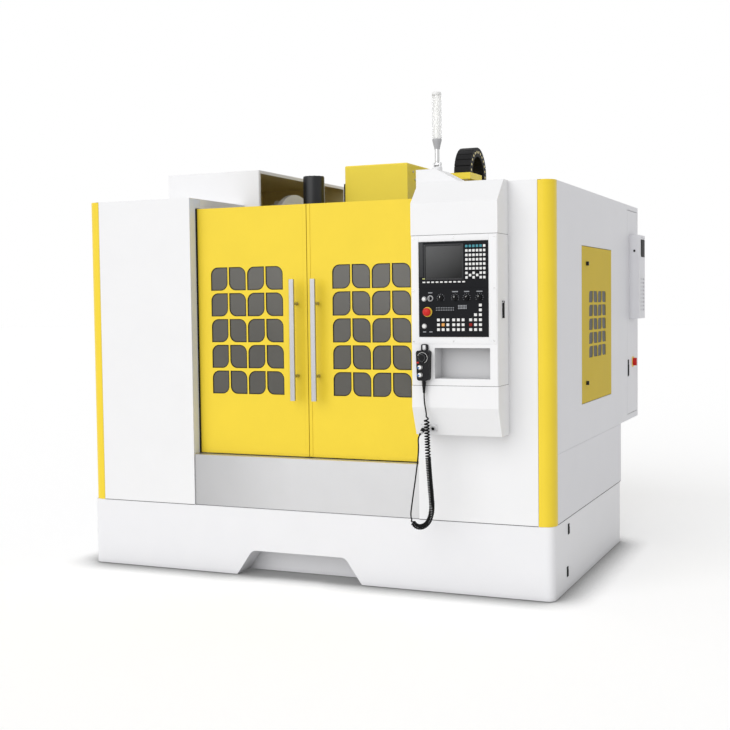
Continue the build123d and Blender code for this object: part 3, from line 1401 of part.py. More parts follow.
lead_points = [
    cord_point(0, 0, relief_low), cord_point(0, 0, 1002), cord_point(4, 0, 968), cord_point(10.5, 0, 936),
    cord_point(11.5, 0, 907)]
coil_start = lead_points[-1]
coil_points = [
    coil_start, coil_start + (coil_start - lead_points[-2]) * 1.7, cord_point(14, 1, 800),
    cord_point(17, 3, 710), cord_point(23, 4, 620), cord_point(31, 3, 530), cord_point(36, 1, 472),
    cord_point(29, 0, 424), cord_point(9, -2, 386), cord_point(-25, -2, 369), cord_point(-56, 0, 377),
    cord_point(-70, 1, 404)]
tail_start = coil_points[-1]
tail_points = [
    tail_start, tail_start + (tail_start - coil_points[-2]) * 0.5, cord_point(-76, 1, 441),
    cord_point(-70, 1, 478), cord_point(-63, 2, 530), cord_point(-54, 3, 585), cord_point(-46, 3, 640),
    cord_point(-37, -3, 690), cord_point(-28, -12, 738), cord_point(-22, -25, 780),
    cord_point(-20, -37, 806),
    socket_plane.from_local_coords(Vector(socket_x, 0, plug_length + 24)),
    socket_plane.from_local_coords(Vector(socket_x, 0, plug_length))]


def arc_radii(points):
    """The radius of each corner: 0.45 of the shorter run over the tangent of half the turn."""
    radii = []
    for before, corner, after in zip(points, points[1:], points[2:]):
        first = corner - before
        second = after - corner
        half_turn = math.radians(first.get_angle(second)) / 2
        radii.append(0.45 * min(first.length, second.length) / math.tan(half_turn))
    return radii


def cord_tube(name, points, radius):
    """A round tube along straight runs joined by tangent arcs."""
    radii = arc_radii(points)
    print(name, "radii", [round(r) for r in radii])
    with BuildPart() as tube:
        with BuildLine() as path:
            FilletPolyline(*points, radius=radii)
        with BuildSketch(Plane(origin=path.wire() @ 0, z_dir=path.wire() % 0)):
            Circle(radius)
        sweep(path=path.wire())
    print(name, "length", round(path.wire().length), "volume share",
          round(tube.part.volume / (math.pi * radius ** 2 * path.wire().length), 4))
    finish(name, tube.part)


cord_tube("pendant_lead", lead_points, cord_radius)
cord_tube("pendant_coil", coil_points, coil_radius)
cord_tube("pendant_tail", tail_points, cord_radius)
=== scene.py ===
import json
import math
import random

import bmesh
import bpy
from mathutils import Matrix, Vector


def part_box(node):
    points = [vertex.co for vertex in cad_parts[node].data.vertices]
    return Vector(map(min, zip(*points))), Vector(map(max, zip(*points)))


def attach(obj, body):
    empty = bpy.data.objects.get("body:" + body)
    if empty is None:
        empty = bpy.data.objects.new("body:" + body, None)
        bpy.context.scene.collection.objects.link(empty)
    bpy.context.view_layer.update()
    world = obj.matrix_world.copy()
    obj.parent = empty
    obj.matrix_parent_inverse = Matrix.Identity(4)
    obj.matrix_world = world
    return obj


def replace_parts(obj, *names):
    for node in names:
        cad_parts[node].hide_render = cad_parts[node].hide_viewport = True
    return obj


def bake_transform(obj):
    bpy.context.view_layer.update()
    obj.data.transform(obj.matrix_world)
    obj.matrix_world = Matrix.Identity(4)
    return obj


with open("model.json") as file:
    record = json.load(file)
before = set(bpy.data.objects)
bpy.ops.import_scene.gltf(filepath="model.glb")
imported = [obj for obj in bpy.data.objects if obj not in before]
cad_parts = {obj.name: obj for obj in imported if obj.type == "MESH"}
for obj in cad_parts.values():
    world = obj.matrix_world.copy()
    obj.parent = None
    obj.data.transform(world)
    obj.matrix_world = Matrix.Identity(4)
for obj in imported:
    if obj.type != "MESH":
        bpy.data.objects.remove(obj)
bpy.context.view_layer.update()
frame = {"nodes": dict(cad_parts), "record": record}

random.seed(850)
MM = 0.001
scene = bpy.context.scene
scene.view_settings.view_transform = "Standard"

# Camera, from the photograph's vanishing points
eye = Vector((2.8064, -6.7001, 1.4814))
yaw, pitch, roll = 0.4087, 0.0521, -0.0123
look = Vector((-math.sin(yaw) * math.cos(pitch), math.cos(yaw) * math.cos(pitch), -math.sin(pitch)))
level = Vector((math.cos(yaw), math.sin(yaw), 0))
lift = level.cross(look)
right = level * math.cos(roll) + lift * math.sin(roll)
up = right.cross(look)
camera_data = bpy.data.cameras.new("camera")
camera_data.lens = 59.12
camera_data.sensor_width = 36
camera_data.shift_x = 0.0019
camera_data.shift_y = -0.0012
camera_data.clip_end = 200
camera = bpy.data.objects.new("camera", camera_data)
turn = Matrix((right, up, -look)).transposed().to_4x4()
camera.matrix_world = Matrix.Translation(eye) @ turn
scene.collection.objects.link(camera)
scene.camera = camera


# Materials: colour variation, roughness variation and a fine bump from object coordinates. Some also get
# painted shade in their creases, and painted light and shade along a fade
SMOOTHER, ROUGHER = 0.82, 1.2
RELIEF, CREASE = 0.001, 0.03


def material(name, colour, rough, metallic=0.0, spread=0.04, patch=5.0, bump=0.05, grain=900.0,
             stretch=(1, 1, 1), transmission=0.0, crease_shade=0.0, emission=0.0, ior=1.5, gloss=0.5, light_fade=None):
    """A painted, cast, moulded or metal finish. Spread and patch give the colour's clouds, bump and
    grain the surface's texture, stretch draws it out into brush lines, and a share of painted shade
    darkens the creases. A fade is painted light and shade: it has a direction in the piece's own box,
    where it starts and ends, and its darkest share."""
    found = bpy.data.materials.new(name)
    found.use_nodes = True
    tree = found.node_tree
    nodes, links = tree.nodes, tree.links
    shader = nodes["Principled BSDF"]
    shader.inputs["Metallic"].default_value = metallic
    shader.inputs["IOR"].default_value = ior
    shader.inputs["Specular IOR Level"].default_value = gloss
    shader.inputs["Transmission Weight"].default_value = transmission
    place = nodes.new("ShaderNodeTexCoord")
    clouds = nodes.new("ShaderNodeTexNoise")
    clouds.inputs["Scale"].default_value = patch
    clouds.inputs["Detail"].default_value = 5
    links.new(place.outputs["Object"], clouds.inputs["Vector"])
    tint = nodes.new("ShaderNodeMix")
    tint.data_type = "RGBA"
    tint.inputs[6].default_value = [c * (1 - spread) for c in colour] + [1]
    tint.inputs[7].default_value = [min(c * (1 + spread), 1) for c in colour] + [1]
    links.new(clouds.outputs["Fac"], tint.inputs[0])
    shade = tint.outputs[2]
    # Painted shade: ambient occlusion darkens the colour in creases and corners
    if crease_shade:
        creases = nodes.new("ShaderNodeAmbientOcclusion")
        creases.inputs["Distance"].default_value = CREASE
        creases.samples = 4
        crease_darkened = nodes.new("ShaderNodeMix")
        crease_darkened.data_type = "RGBA"
        crease_darkened.inputs[6].default_value = [c * (1 - crease_shade) for c in colour] + [1]
        links.new(creases.outputs["AO"], crease_darkened.inputs[0])
        links.new(shade, crease_darkened.inputs[7])
        shade = crease_darkened.outputs[2]
    # Painted light and shade: the colour is dimmed along a direction across the piece
    if light_fade:
        direction, low, high, share = light_fade
        run = nodes.new("ShaderNodeVectorMath")
        run.operation = "DOT_PRODUCT"
        run.inputs[1].default_value = direction
        links.new(place.outputs["Generated"], run.inputs[0])
        amount = nodes.new("ShaderNodeMapRange")
        amount.inputs["From Min"].default_value = low
        amount.inputs["From Max"].default_value = high
        amount.inputs["To Min"].default_value = share
        links.new(run.outputs["Value"], amount.inputs["Value"])
        dimmed = nodes.new("ShaderNodeVectorMath")
        dimmed.operation = "SCALE"
        links.new(shade, dimmed.inputs[0])
        links.new(amount.outputs["Result"], dimmed.inputs["Scale"])
        shade = dimmed.outputs[0]
    links.new(shade, shader.inputs["Base Color"])
    if emission:
        links.new(shade, shader.inputs["Emission Color"])
        shader.inputs["Emission Strength"].default_value = emission
    scaled = nodes.new("ShaderNodeMapping")
    scaled.inputs["Scale"].default_value = stretch
    links.new(place.outputs["Object"], scaled.inputs["Vector"])
    fine = nodes.new("ShaderNodeTexNoise")
    fine.inputs["Scale"].default_value = grain
    fine.inputs["Detail"].default_value = 3
    links.new(scaled.outputs["Vector"], fine.inputs["Vector"])
    span = nodes.new("ShaderNodeMapRange")
    span.inputs["To Min"].default_value = rough * SMOOTHER
    span.inputs["To Max"].default_value = min(rough * ROUGHER, 1)
    links.new(fine.outputs["Fac"], span.inputs["Value"])
    links.new(span.outputs["Result"], shader.inputs["Roughness"])
    relief = nodes.new("ShaderNodeBump")
    relief.inputs["Strength"].default_value = bump
    relief.inputs["Distance"].default_value = RELIEF
    links.new(fine.outputs["Fac"], relief.inputs["Height"])
    links.new(relief.outputs["Normal"], shader.inputs["Normal"])
    return found


# What paints, moulded pieces and flat clear or blank faces share
paint = {"bump": 0.08, "grain": 420}
metal_paint = {"bump": 0.06, "grain": 1400}
moulded = {"bump": 0.06, "grain": 1500, "patch": 60}
fitting = {"bump": 0.04, "grain": 900, "patch": 40}
flat = {"bump": 0.01, "grain": 60}

yellow = material("yellow_paint", (0.93, 0.69, 0.045), 0.38, crease_shade=0.3, gloss=0.25, **paint)
# Painted shade: a darker copy of the yellow paint for the side door, which faces away from the light
shaded_side_yellow = material("shaded_side_yellow", (0.70, 0.52, 0.045), 0.5, crease_shade=0.3, gloss=0.06, **paint)
white = material("white_paint", (0.89, 0.89, 0.90), 0.42, crease_shade=0.2, spread=0.02, gloss=0.4, **paint)
# Painted shade: a darker copy of the white paint for the side panels, which face away from the light
shaded_side_white = material("shaded_side_paint", (0.80, 0.80, 0.83), 0.45, crease_shade=0.25, spread=0.02, **paint)
base_white = material("base_paint", (0.87, 0.87, 0.89), 0.45, crease_shade=0.25, spread=0.02, **paint)
# The apron's fade is painted shade: its colour darkens towards its left end
apron_silver = material("apron_paint", (0.62, 0.62, 0.63), 0.35, metallic=0.5,
                        light_fade=((1, 0, 0), 0.0, 0.45, 0.72), **metal_paint)
# Painted light: a brighter copy of the yellow paint for the head cover, making up for the shade it stands
# in
lit_cover_yellow = material("lit_cover_yellow", (0.98, 0.765, 0.065), 0.4, crease_shade=0.1, gloss=0.25, **paint)
# Painted shade: a grey copy of the white paint for the tool niche's lining, darker as the recess is shaded
shaded_niche_grey = material("shaded_niche_grey", (0.66, 0.66, 0.67), 0.5, crease_shade=0.3, spread=0.02, **paint)
handle_steel = material("handle_steel", (0.42, 0.42, 0.43), 0.34, metallic=0.9, grain=1200,
                        stretch=(1, 1, 0.05), spread=0.06)
jamb_silver = material("jamb_paint", (0.74, 0.80, 0.96), 0.4, spread=0.03, gloss=0.3, **metal_paint)
silver = material("silver_paint", (0.60, 0.60, 0.61), 0.33, metallic=0.55, spread=0.05, **metal_paint)
cast = material("cast_paint", (0.58, 0.60, 0.60), 0.5, bump=0.5, grain=260, crease_shade=0.4)
steel = material("bare_steel", (0.60, 0.60, 0.60), 0.28, metallic=1.0, bump=0.06,
                 stretch=(0.06, 1, 1), spread=0.06)
turned = material("turned_steel", (0.66, 0.66, 0.66), 0.22, metallic=1.0, grain=1500,
                  stretch=(1, 1, 0.08), spread=0.05)
window = material("dark_window", (0.105, 0.10, 0.086), 0.16, transmission=0.2, spread=0.3,
                  patch=2.5, **flat)
black_metal = material("black_metal", (0.012, 0.013, 0.015), 0.3, bump=0.1, grain=700, spread=0.15,
                       gloss=0.35)
black = material("black_plastic", (0.011, 0.011, 0.012), 0.55, bump=0.12, grain=1800, spread=0.15,
                 gloss=0.12)
panel_black = material("panel_black", (0.0095, 0.010, 0.012), 0.55, bump=0.1, grain=1500, spread=0.1,
                       gloss=0.1)
grey_plastic = material("pendant_plastic", (0.013, 0.013, 0.015), 0.5, bump=0.15, grain=1500, spread=0.1,
                        gloss=0.14)
dark_gap = material("dark_gap", (0.07, 0.07, 0.075), 0.7, bump=0.1, gloss=0.1)
red = material("red_plastic", (0.60, 0.014, 0.010), 0.35, bump=0.03, grain=800, gloss=0.3)
dark_red = material("dark_red", (0.30, 0.010, 0.008), 0.45, grain=1500, patch=60, gloss=0.2)
rubber = material("cord_rubber", (0.009, 0.009, 0.0095), 0.65, bump=0.12, grain=1600, spread=0.2, gloss=0.1)
lamp_clear = material("lamp_clear", (0.93, 0.93, 0.93), 0.12, transmission=0.9, spread=0.02,
                      ior=1.3, **flat)
# Painted light: the lamp's reflectors glow a little, standing in for light that reaches inside the clear
# tube; the lamp is not lit
glowing_lamp_core = material("glowing_lamp_core", (0.90, 0.90, 0.88), 0.4, bump=0.02, grain=300, spread=0.02, emission=0.3)
key_white = material("key_white", (0.83, 0.83, 0.82), 0.45, spread=0.03, **moulded)
key_teal = material("key_teal", (0.04, 0.27, 0.33), 0.45, **moulded)
key_orange = material("key_orange", (0.80, 0.36, 0.07), 0.4, **moulded)
mark_grey = material("mark_grey", (0.30, 0.31, 0.33), 0.5, grain=1500, patch=60)
blue = material("blue_plastic", (0.05, 0.16, 0.42), 0.35, grain=1200, patch=60)
# The screen's fade is a painted reflection: the glass is brighter towards its upper left
screen_glass = material("screen_glass", (0.090, 0.091, 0.093), 0.3, spread=0.15, patch=7, gloss=0.2,
                        light_fade=((-1, 0, 1), -0.8, 0.9, 0.12), **flat)
led_amber = material("led_amber", (0.40, 0.42, 0.12), 0.3, emission=0.15, bump=0.02, grain=800)
pale_pin = material("pale_pin", (0.80, 0.68, 0.30), 0.4, **fitting)
yellow_plate = material("yellow_plate", (0.88, 0.62, 0.05), 0.4, **fitting)
mesh_grey = material("mesh_grey", (0.135, 0.135, 0.125), 0.6, bump=0.6, stretch=(1, 1, 0.03), spread=0.25,
                     gloss=0.2)
olive = material("magazine_lining", (0.80, 0.68, 0.38), 0.6, bump=0.1, grain=420, spread=0.15, patch=3,
                 gloss=0.2)
lamp_grey = material("lamp_grey", (0.42, 0.42, 0.43), 0.4, patch=40)
disc_grey = material("disc_paint", (0.78, 0.78, 0.79), 0.4, bump=0.1, grain=420, spread=0.03)

# The finish of each material slot of the solids, and the nodes that have a finish of their own
finish_of = {
    "yellow_paint": yellow, "white_paint": white, "grey_paint": shaded_side_white, "base_paint": base_white,
    "silver_paint": silver, "cast_paint": cast, "bare_steel": steel, "dark_window": window,
    "black_metal": black_metal, "black_plastic": black, "pendant_plastic": grey_plastic,
    "red_plastic": red, "lamp_plastic": silver, "cord_rubber": rubber}
special = {
    "control_panel": panel_black, "tool_disc": disc_grey, "drive_plate": silver, "spindle": turned,
    "x_ball_screw": turned, "y_ball_screw": turned, "z_ball_screw": turned, "side_door": shaded_side_yellow,
    "front_apron": apron_silver, "pendant_socket": disc_grey, "head_cover": lit_cover_yellow,
    "left_handle": handle_steel, "right_handle": handle_steel, "console_lock": black}
for part in frame["record"]["subparts"]:
    node = frame["nodes"][part["node"]]
    chosen = special.get(part["node"], finish_of[part["material_slot"]])
    node.data.materials.clear()
    node.data.materials.append(chosen)


# Stage: a pale floor with the object's shadow, and a white surround that lights it softly
def seen_ray(nodes, links):
    """1 where the camera, a reflection or a transparent pane looks at the surround."""
    path = nodes.new("ShaderNodeLightPath")
    seen = path.outputs["Is Camera Ray"]
    for kind in ("Is Glossy Ray", "Is Transmission Ray"):
        either = nodes.new("ShaderNodeMath")
        either.operation = "MAXIMUM"
        links.new(seen, either.inputs[0])
        links.new(path.outputs[kind], either.inputs[1])
        seen = either.outputs[0]
    return seen


surround_light, surround_seen = 0.60, 1.0
world = bpy.data.worlds.new("surround")
scene.world = world
world.use_nodes = True
nodes, links = world.node_tree.nodes, world.node_tree.links
nodes.clear()
chooser = nodes.new("ShaderNodeMixShader")
links.new(seen_ray(nodes, links), chooser.inputs[0])
for number, strength in ((1, surround_light), (2, surround_seen)):
    background = nodes.new("ShaderNodeBackground")
    background.inputs["Color"].default_value = (1, 1, 1, 1)
    background.inputs["Strength"].default_value = strength
    links.new(background.outputs[0], chooser.inputs[number])
output = nodes.new("ShaderNodeOutputWorld")
links.new(chooser.outputs[0], output.inputs["Surface"])

# The floor glows a little where it is looked at. Right at the object's foot it is darker, as in a
# corner that gathers little light
reach, floor_glow = 60, 0.30
foot_width, foot_start = 0.20, 0.55
floor_shades, glow_shades = (0.30, 0.86), (0.2, 1)
floor_mesh = bpy.data.meshes.new("floor")
floor_mesh.from_pydata(
    [(-reach, -reach, 0), (reach, -reach, 0), (reach, reach, 0), (-reach, reach, 0)], [], [(0, 1, 2, 3)])
floor = bpy.data.objects.new("floor", floor_mesh)
scene.collection.objects.link(floor)
pale = bpy.data.materials.new("pale_floor")
pale.use_nodes = True
nodes, links = pale.node_tree.nodes, pale.node_tree.links
shader = nodes["Principled BSDF"]
shader.inputs["Roughness"].default_value = 0.9
shader.inputs["Specular IOR Level"].default_value = 0.1
glow = nodes.new("ShaderNodeMath")
glow.operation = "MULTIPLY"
glow.inputs[1].default_value = floor_glow
links.new(seen_ray(nodes, links), glow.inputs[0])
links.new(glow.outputs[0], shader.inputs["Emission Strength"])
corner = nodes.new("ShaderNodeAmbientOcclusion")
corner.samples = 8
corner.inputs["Distance"].default_value = foot_width
for socket, (low, high) in (("Base Color", floor_shades), ("Emission Color", glow_shades)):
    darker = nodes.new("ShaderNodeMapRange")
    darker.inputs["From Min"].default_value = foot_start
    darker.inputs["To Min"].default_value = low
    darker.inputs["To Max"].default_value = high
    links.new(corner.outputs["AO"], darker.inputs["Value"])
    links.new(darker.outputs["Result"], shader.inputs[socket])
floor_mesh.materials.append(pale)


def sun(name, strength, angle, toward):
    """A soft lamp that shines along a direction."""
    lamp = bpy.data.lights.new(name, "SUN")
    lamp.energy = strength
    lamp.angle = math.radians(angle)
    holder = bpy.data.objects.new(name, lamp)
    holder.rotation_euler = Vector(toward).to_track_quat("-Z", "Y").to_euler()
    scene.collection.objects.link(holder)


sun("key_light", 1.34, 60, (0.25, 0.9, -0.5))


# Places of the solids that the details start from, in millimetres
def ends_of(name):
    """A CAD node's lowest and highest place along X, Y and Z."""
    return [(round(low / MM, 2), round(high / MM, 2)) for low, high in zip(*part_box(name))]


def middle_of(name):
    """The middle of a CAD node."""
    return [round((low + high) / 2, 1) for low, high in ends_of(name)]


(_, SIDE), (FRONT, trim_back), (BASE_TOP, ROOF) = ends_of("corner_trims")
TRIM = trim_back - FRONT
BASE_BACK = ends_of("base_skirt")[1][1]
OPENING_X = (ends_of("left_front_panel")[0][1], ends_of("right_front_panel")[0][0])
APRON = ends_of("front_apron")[1][0]
_, (DOOR, _), DOOR_Z = ends_of("left_door")
CONSOLE_X, (CONSOLE, _), (CONSOLE_FOOT, _) = ends_of("console_housing")

# Mesh helpers: every size is in millimetres in the row frame. Edges sharper than one angle are
# bevelled, and the shading stays sharp beyond the other
BEVEL_ANGLE, SHARP_ANGLE = math.radians(30), math.radians(35)


class Piece:
    """A piece of one finish that rides on one body, put together from bevelled forms."""

    def __init__(self, name, body, finish):
        self.name, self.body, self.finish = name, body, finish
        self.bm = bmesh.new()

    def bevel(self, verts, width, segments):
        """Bevel the sharp edges that meet in some vertices."""
        edges = [e for e in {e for v in verts for e in v.link_edges}
                 if len(e.link_faces) == 2 and e.calc_face_angle(0) > BEVEL_ANGLE]
        bmesh.ops.bevel(self.bm, geom=edges, offset=width * MM, segments=segments, profile=0.7,
                        affect="EDGES", clamp_overlap=True)

    def box(self, x0, x1, y0, y1, z0, z1, bevel=0.6, segments=2, turn=None):
        """A block between two corners, turned about its middle if asked."""
        centre = Vector(((x0 + x1) / 2, (y0 + y1) / 2, (z0 + z1) / 2)) * MM
        size = Matrix.Diagonal((abs(x1 - x0) * MM, abs(y1 - y0) * MM, abs(z1 - z0) * MM, 1))
        place = Matrix.Translation(centre) @ (turn or Matrix()) @ size
        made = bmesh.ops.create_cube(self.bm, size=1, matrix=place)
        self.bevel(made["verts"], bevel, segments)

    def plate(self, spot, size, front, back, bevel=0.6, segments=2, turn=None):
        """A block centred on a spot of the front, X and Z, between two depths."""
        (x, z), (wide, high) = spot, size
        self.box(x - wide / 2, x + wide / 2, front, back, z - high / 2, z + high / 2, bevel, segments, turn)

    def lathe(self, spot, axis, profile, sides=40, turn=None, closed=False):
        """A turned form: the profile gives radius and height along the axis from the spot. A closed
        profile makes a ring, an open one gets a face at each end."""
        base = {"X": Matrix.Rotation(math.pi / 2, 4, "Y"), "-X": Matrix.Rotation(-math.pi / 2, 4, "Y"),
                "-Y": Matrix.Rotation(math.pi / 2, 4, "X"),
                "Z": Matrix(), "-Z": Matrix.Rotation(math.pi, 4, "X")}
        place = Matrix.Translation(Vector(spot) * MM) @ (turn or base[axis])
        rings = []
        for radius, height in profile:
            if radius < 1e-6:
                rings.append([self.bm.verts.new(place @ Vector((0, 0, height * MM)))])
                continue
            ring = []
            for step in range(sides):
                a = 2 * math.pi * step / sides
                spot_in = Vector((radius * MM * math.cos(a), radius * MM * math.sin(a), height * MM))
                ring.append(self.bm.verts.new(place @ spot_in))
            rings.append(ring)
        for low, high in zip(rings, rings[1:] + (rings[:1] if closed else [])):
            for step in range(sides):
                after = (step + 1) % sides
                if len(low) == 1 and len(high) == 1:
                    continue
                if len(low) == 1:
                    self.bm.faces.new((low[0], high[after], high[step]))
                elif len(high) == 1:
                    self.bm.faces.new((low[step], low[after], high[0]))
                else:
                    self.bm.faces.new((low[step], low[after], high[after], high[step]))
        for ring, flip in ((rings[0], True), (rings[-1], False)):
            if len(ring) > 1 and not closed:
                self.bm.faces.new(ring[::-1] if flip else ring)

    def rod(self, spot, axis, radius, length, bevel=0.6, sides=40):
        """A cylinder with bevelled rims that starts at the spot."""
        b = min(bevel, radius / 3, length / 3)
        profile = [(radius - b, 0), (radius - b * 0.3, b * 0.3), (radius, b), (radius, length - b),
                   (radius - b * 0.3, length - b * 0.3), (radius - b, length)]
        self.lathe(spot, axis, profile, sides)

    def prism(self, outline, place, thickness, bevel=0.6, segments=2):
        """A flat outline in the local XY plane of a matrix, thickened along its Z."""
        low = [self.bm.verts.new(place @ Vector((x * MM, y * MM, 0))) for x, y in outline]
        face = self.bm.faces.new(low)
        made = bmesh.ops.extrude_face_region(self.bm, geom=[face])
        raised = [v for v in made["geom"] if isinstance(v, bmesh.types.BMVert)]
        shift = place.to_3x3() @ Vector((0, 0, thickness * MM))
        bmesh.ops.translate(self.bm, verts=raised, vec=shift)
        self.bevel(low + raised, bevel, segments)

    def screw(self, spot, axis, radius=5, height=3.5):
        """A socket head screw with its six sided hole."""
        self.lathe(spot, axis, [
            (radius, 0), (radius, height - 0.6), (radius - 0.6, height), (radius * 0.55, height),
            (radius * 0.5, height - 0.2), (radius * 0.48, height * 0.35), (0, height * 0.35)], 24)

    def done(self, slot=None):
        """Make the object and let it ride."""
        bmesh.ops.recalc_face_normals(self.bm, faces=self.bm.faces)
        mesh = bpy.data.meshes.new(self.name)
        self.bm.to_mesh(mesh)
        self.bm.free()
        mesh.shade_smooth()
        mesh.set_sharp_from_angle(angle=SHARP_ANGLE)
        mesh.materials.append(self.finish)
        made = bpy.data.objects.new(self.name, mesh)
        scene.collection.objects.link(made)
        if self.body:
            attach(made, self.body)
        return made


# The pendant's cord: the same points as in the source, in metres. A lead, a coil and a tail
cord_x, cord_y = 0.757, -1.2303
lead_points = [(0, 0, 1.032), (0, 0, 1.002), (0.004, 0, 0.968), (0.0105, 0, 0.936), (0.0115, 0, 0.907)]
coil_points = [
    (0.014, 0.001, 0.800), (0.017, 0.003, 0.710), (0.023, 0.004, 0.620), (0.031, 0.003, 0.530),
    (0.036, 0.001, 0.472), (0.029, 0, 0.424), (0.009, -0.002, 0.386), (-0.025, -0.002, 0.369),
    (-0.056, 0, 0.377), (-0.070, 0.001, 0.404)]
tail_points = [
    (-0.076, 0.001, 0.441), (-0.070, 0.001, 0.478), (-0.063, 0.002, 0.530), (-0.054, 0.003, 0.585),
    (-0.046, 0.003, 0.640), (-0.037, -0.003, 0.690), (-0.028, -0.012, 0.738), (-0.022, -0.025, 0.780),
    (-0.020, -0.037, 0.806)]


def in_frame(points):
    """Steps from the pendant's axis as points of the row frame."""
    return [Vector((cord_x + x, cord_y + y, z)) for x, y, z in points]


def onward(points, share):
    """The last point carried on in line with the one before it, by a share of their distance."""
    return points[-1] + (points[-1] - points[-2]) * share


# The plug sits on the console's lower chamfer, which is known by its two heights and by how far both
# stand before the cabinet's front. The tail ends in line with the plug
chamfer_high, chamfer_low = 0.960, CONSOLE_FOOT * MM
depth_high, depth_low = 0.180, 0.125
plug_x, plug_depth, plug_length, plug_gap = 0.738, 0.140, 0.074, 0.024
slope = math.atan2(chamfer_high - chamfer_low, depth_high - depth_low)
plug_axis = Vector((0, -math.sin(slope), -math.cos(slope)))
plug_z = chamfer_high - (depth_high - plug_depth) * math.tan(slope)
plug_foot = Vector((plug_x, FRONT * MM - plug_depth, plug_z))
lead = in_frame(lead_points)
coil = in_frame(coil_points)
tail = in_frame(tail_points)
coil_start = lead[-1]
tail_start = coil[-1]
route = (lead + [onward(lead, 1.7)] + coil + [onward(coil, 0.5)] + tail
         + [plug_foot + plug_axis * (plug_length + plug_gap), plug_foot + plug_axis * plug_length])


def nurbs(name, points, resolution):
    """A curve of one open spline with the points as its control points."""
    curve = bpy.data.curves.new(name, "CURVE")
    curve.dimensions = "3D"
    curve.resolution_u = resolution
    spline = curve.splines.new("NURBS")
    spline.points.add(len(points) - 1)
    for spot, point in zip(spline.points, points):
        spot.co = (*point, 1)
    spline.order_u = 3
    spline.use_endpoint_u = True
    made = bpy.data.objects.new(name, curve)
    scene.collection.objects.link(made)
    return made


def line_of(curve_object):
    """The points that Blender gives for a curve with no bevel."""
    mesh = bpy.data.meshes.new_from_object(curve_object)
    spots = [v.co.copy() for v in mesh.vertices]
    bpy.data.meshes.remove(mesh)
    return spots


route_object = nurbs("cord_route", route, 16)
centre = line_of(route_object)
bpy.data.objects.remove(route_object)
along = [0.0]
for a, b in zip(centre, centre[1:]):
    along.append(along[-1] + (b - a).length)


def nearest(point):
    """How far along the route it comes nearest to a point."""
    return along[min(range(len(centre)), key=lambda i: (centre[i] - point).length)]


def at(distance):
    """The route's point and direction at a distance along it."""
    distance = min(max(distance, 0), along[-1])
    i = 0
    while i < len(along) - 2 and along[i + 1] < distance:
        i += 1
    share = (distance - along[i]) / (along[i + 1] - along[i])
    return centre[i].lerp(centre[i + 1], share), (centre[i + 1] - centre[i]).normalized()


# The turns start a little before the lead's end and stop a little after the coil's
turns_from = nearest(coil_start) - 0.020
turns_to = nearest(tail_start) + 0.010
cord_radius, turn_radius, points_per_turn = 0.0036, 0.0110, 14
# Loose turns at the top, close ones below, and how much a turn's radius and pitch may differ
loose_length, loose_pitch, close_pitch = 0.209, 0.0150, 0.0084
radius_spread, pitch_spread = 0.03, 0.0024
# At its two ends the helix grows out of the straight cord over this length, with a longer pitch
end_ramp, end_pitch = 0.030, 0.020
lead_steps, tail_steps = 10, 24
cord_line = [at(turns_from * step / lead_steps)[0] for step in range(lead_steps)]
across = at(turns_from)[1].orthogonal().normalized()
distance, angle, turn_number, wobble = turns_from, 0.0, 0, 0.0
while distance < turns_to:
    spot, along_way = at(distance)
    across = (across - along_way * across.dot(along_way)).normalized()
    other = along_way.cross(across)
    if int(angle / (2 * math.pi)) != turn_number:
        turn_number += 1
        wobble = random.uniform(-1, 1)
    near_end = min((distance - turns_from) / end_ramp, (turns_to - distance) / end_ramp, 1)
    grown = near_end * near_end * (3 - 2 * near_end)
    radius = turn_radius * grown * (1 + radius_spread * wobble)
    cord_line.append(spot + (across * math.cos(angle) + other * math.sin(angle)) * radius)
    loose = distance < turns_from + loose_length
    turn_pitch = (loose_pitch + pitch_spread * wobble) if loose else close_pitch
    turn_pitch += end_pitch * (1 - grown ** 4)
    angle += 2 * math.pi / points_per_turn
    distance += turn_pitch / points_per_turn
tail_length = along[-1] - turns_to
cord_line += [at(turns_to + tail_length * step / tail_steps)[0] for step in range(1, tail_steps + 1)]
cord_object = nurbs("cord_line", cord_line, 2)
cord_path = line_of(cord_object)
cord_object.data.bevel_depth = cord_radius
cord_object.data.bevel_resolution = 2
cord_object.data.use_fill_caps = True
cord_mesh = bpy.data.meshes.new_from_object(cord_object)
bpy.data.objects.remove(cord_object)
cord_mesh.materials.clear()
cord_mesh.materials.append(rubber)
cord_mesh.shade_smooth()
cord = bpy.data.objects.new("pendant_cord", cord_mesh)
scene.collection.objects.link(cord)
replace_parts(cord, "pendant_lead", "pendant_coil", "pendant_tail")

# Control panel, on the console's door: its face, the depth of its recesses, and how far a detail sinks in
PANEL = CONSOLE - 4
GROOVE, SCREEN_DEPTH = 1, 3
SEAT = 0.05
KEY_RISE, KEY_BEVEL = 4.5, 1.4


def key_caps(name, finish, spots, size):
    """Push keys with rounded rims on the panel's face."""
    caps = Piece(name, "console_door", finish)
    for spot in spots:
        caps.plate(spot, size, PANEL - KEY_RISE, PANEL - SEAT, KEY_BEVEL, 3)
    caps.done()


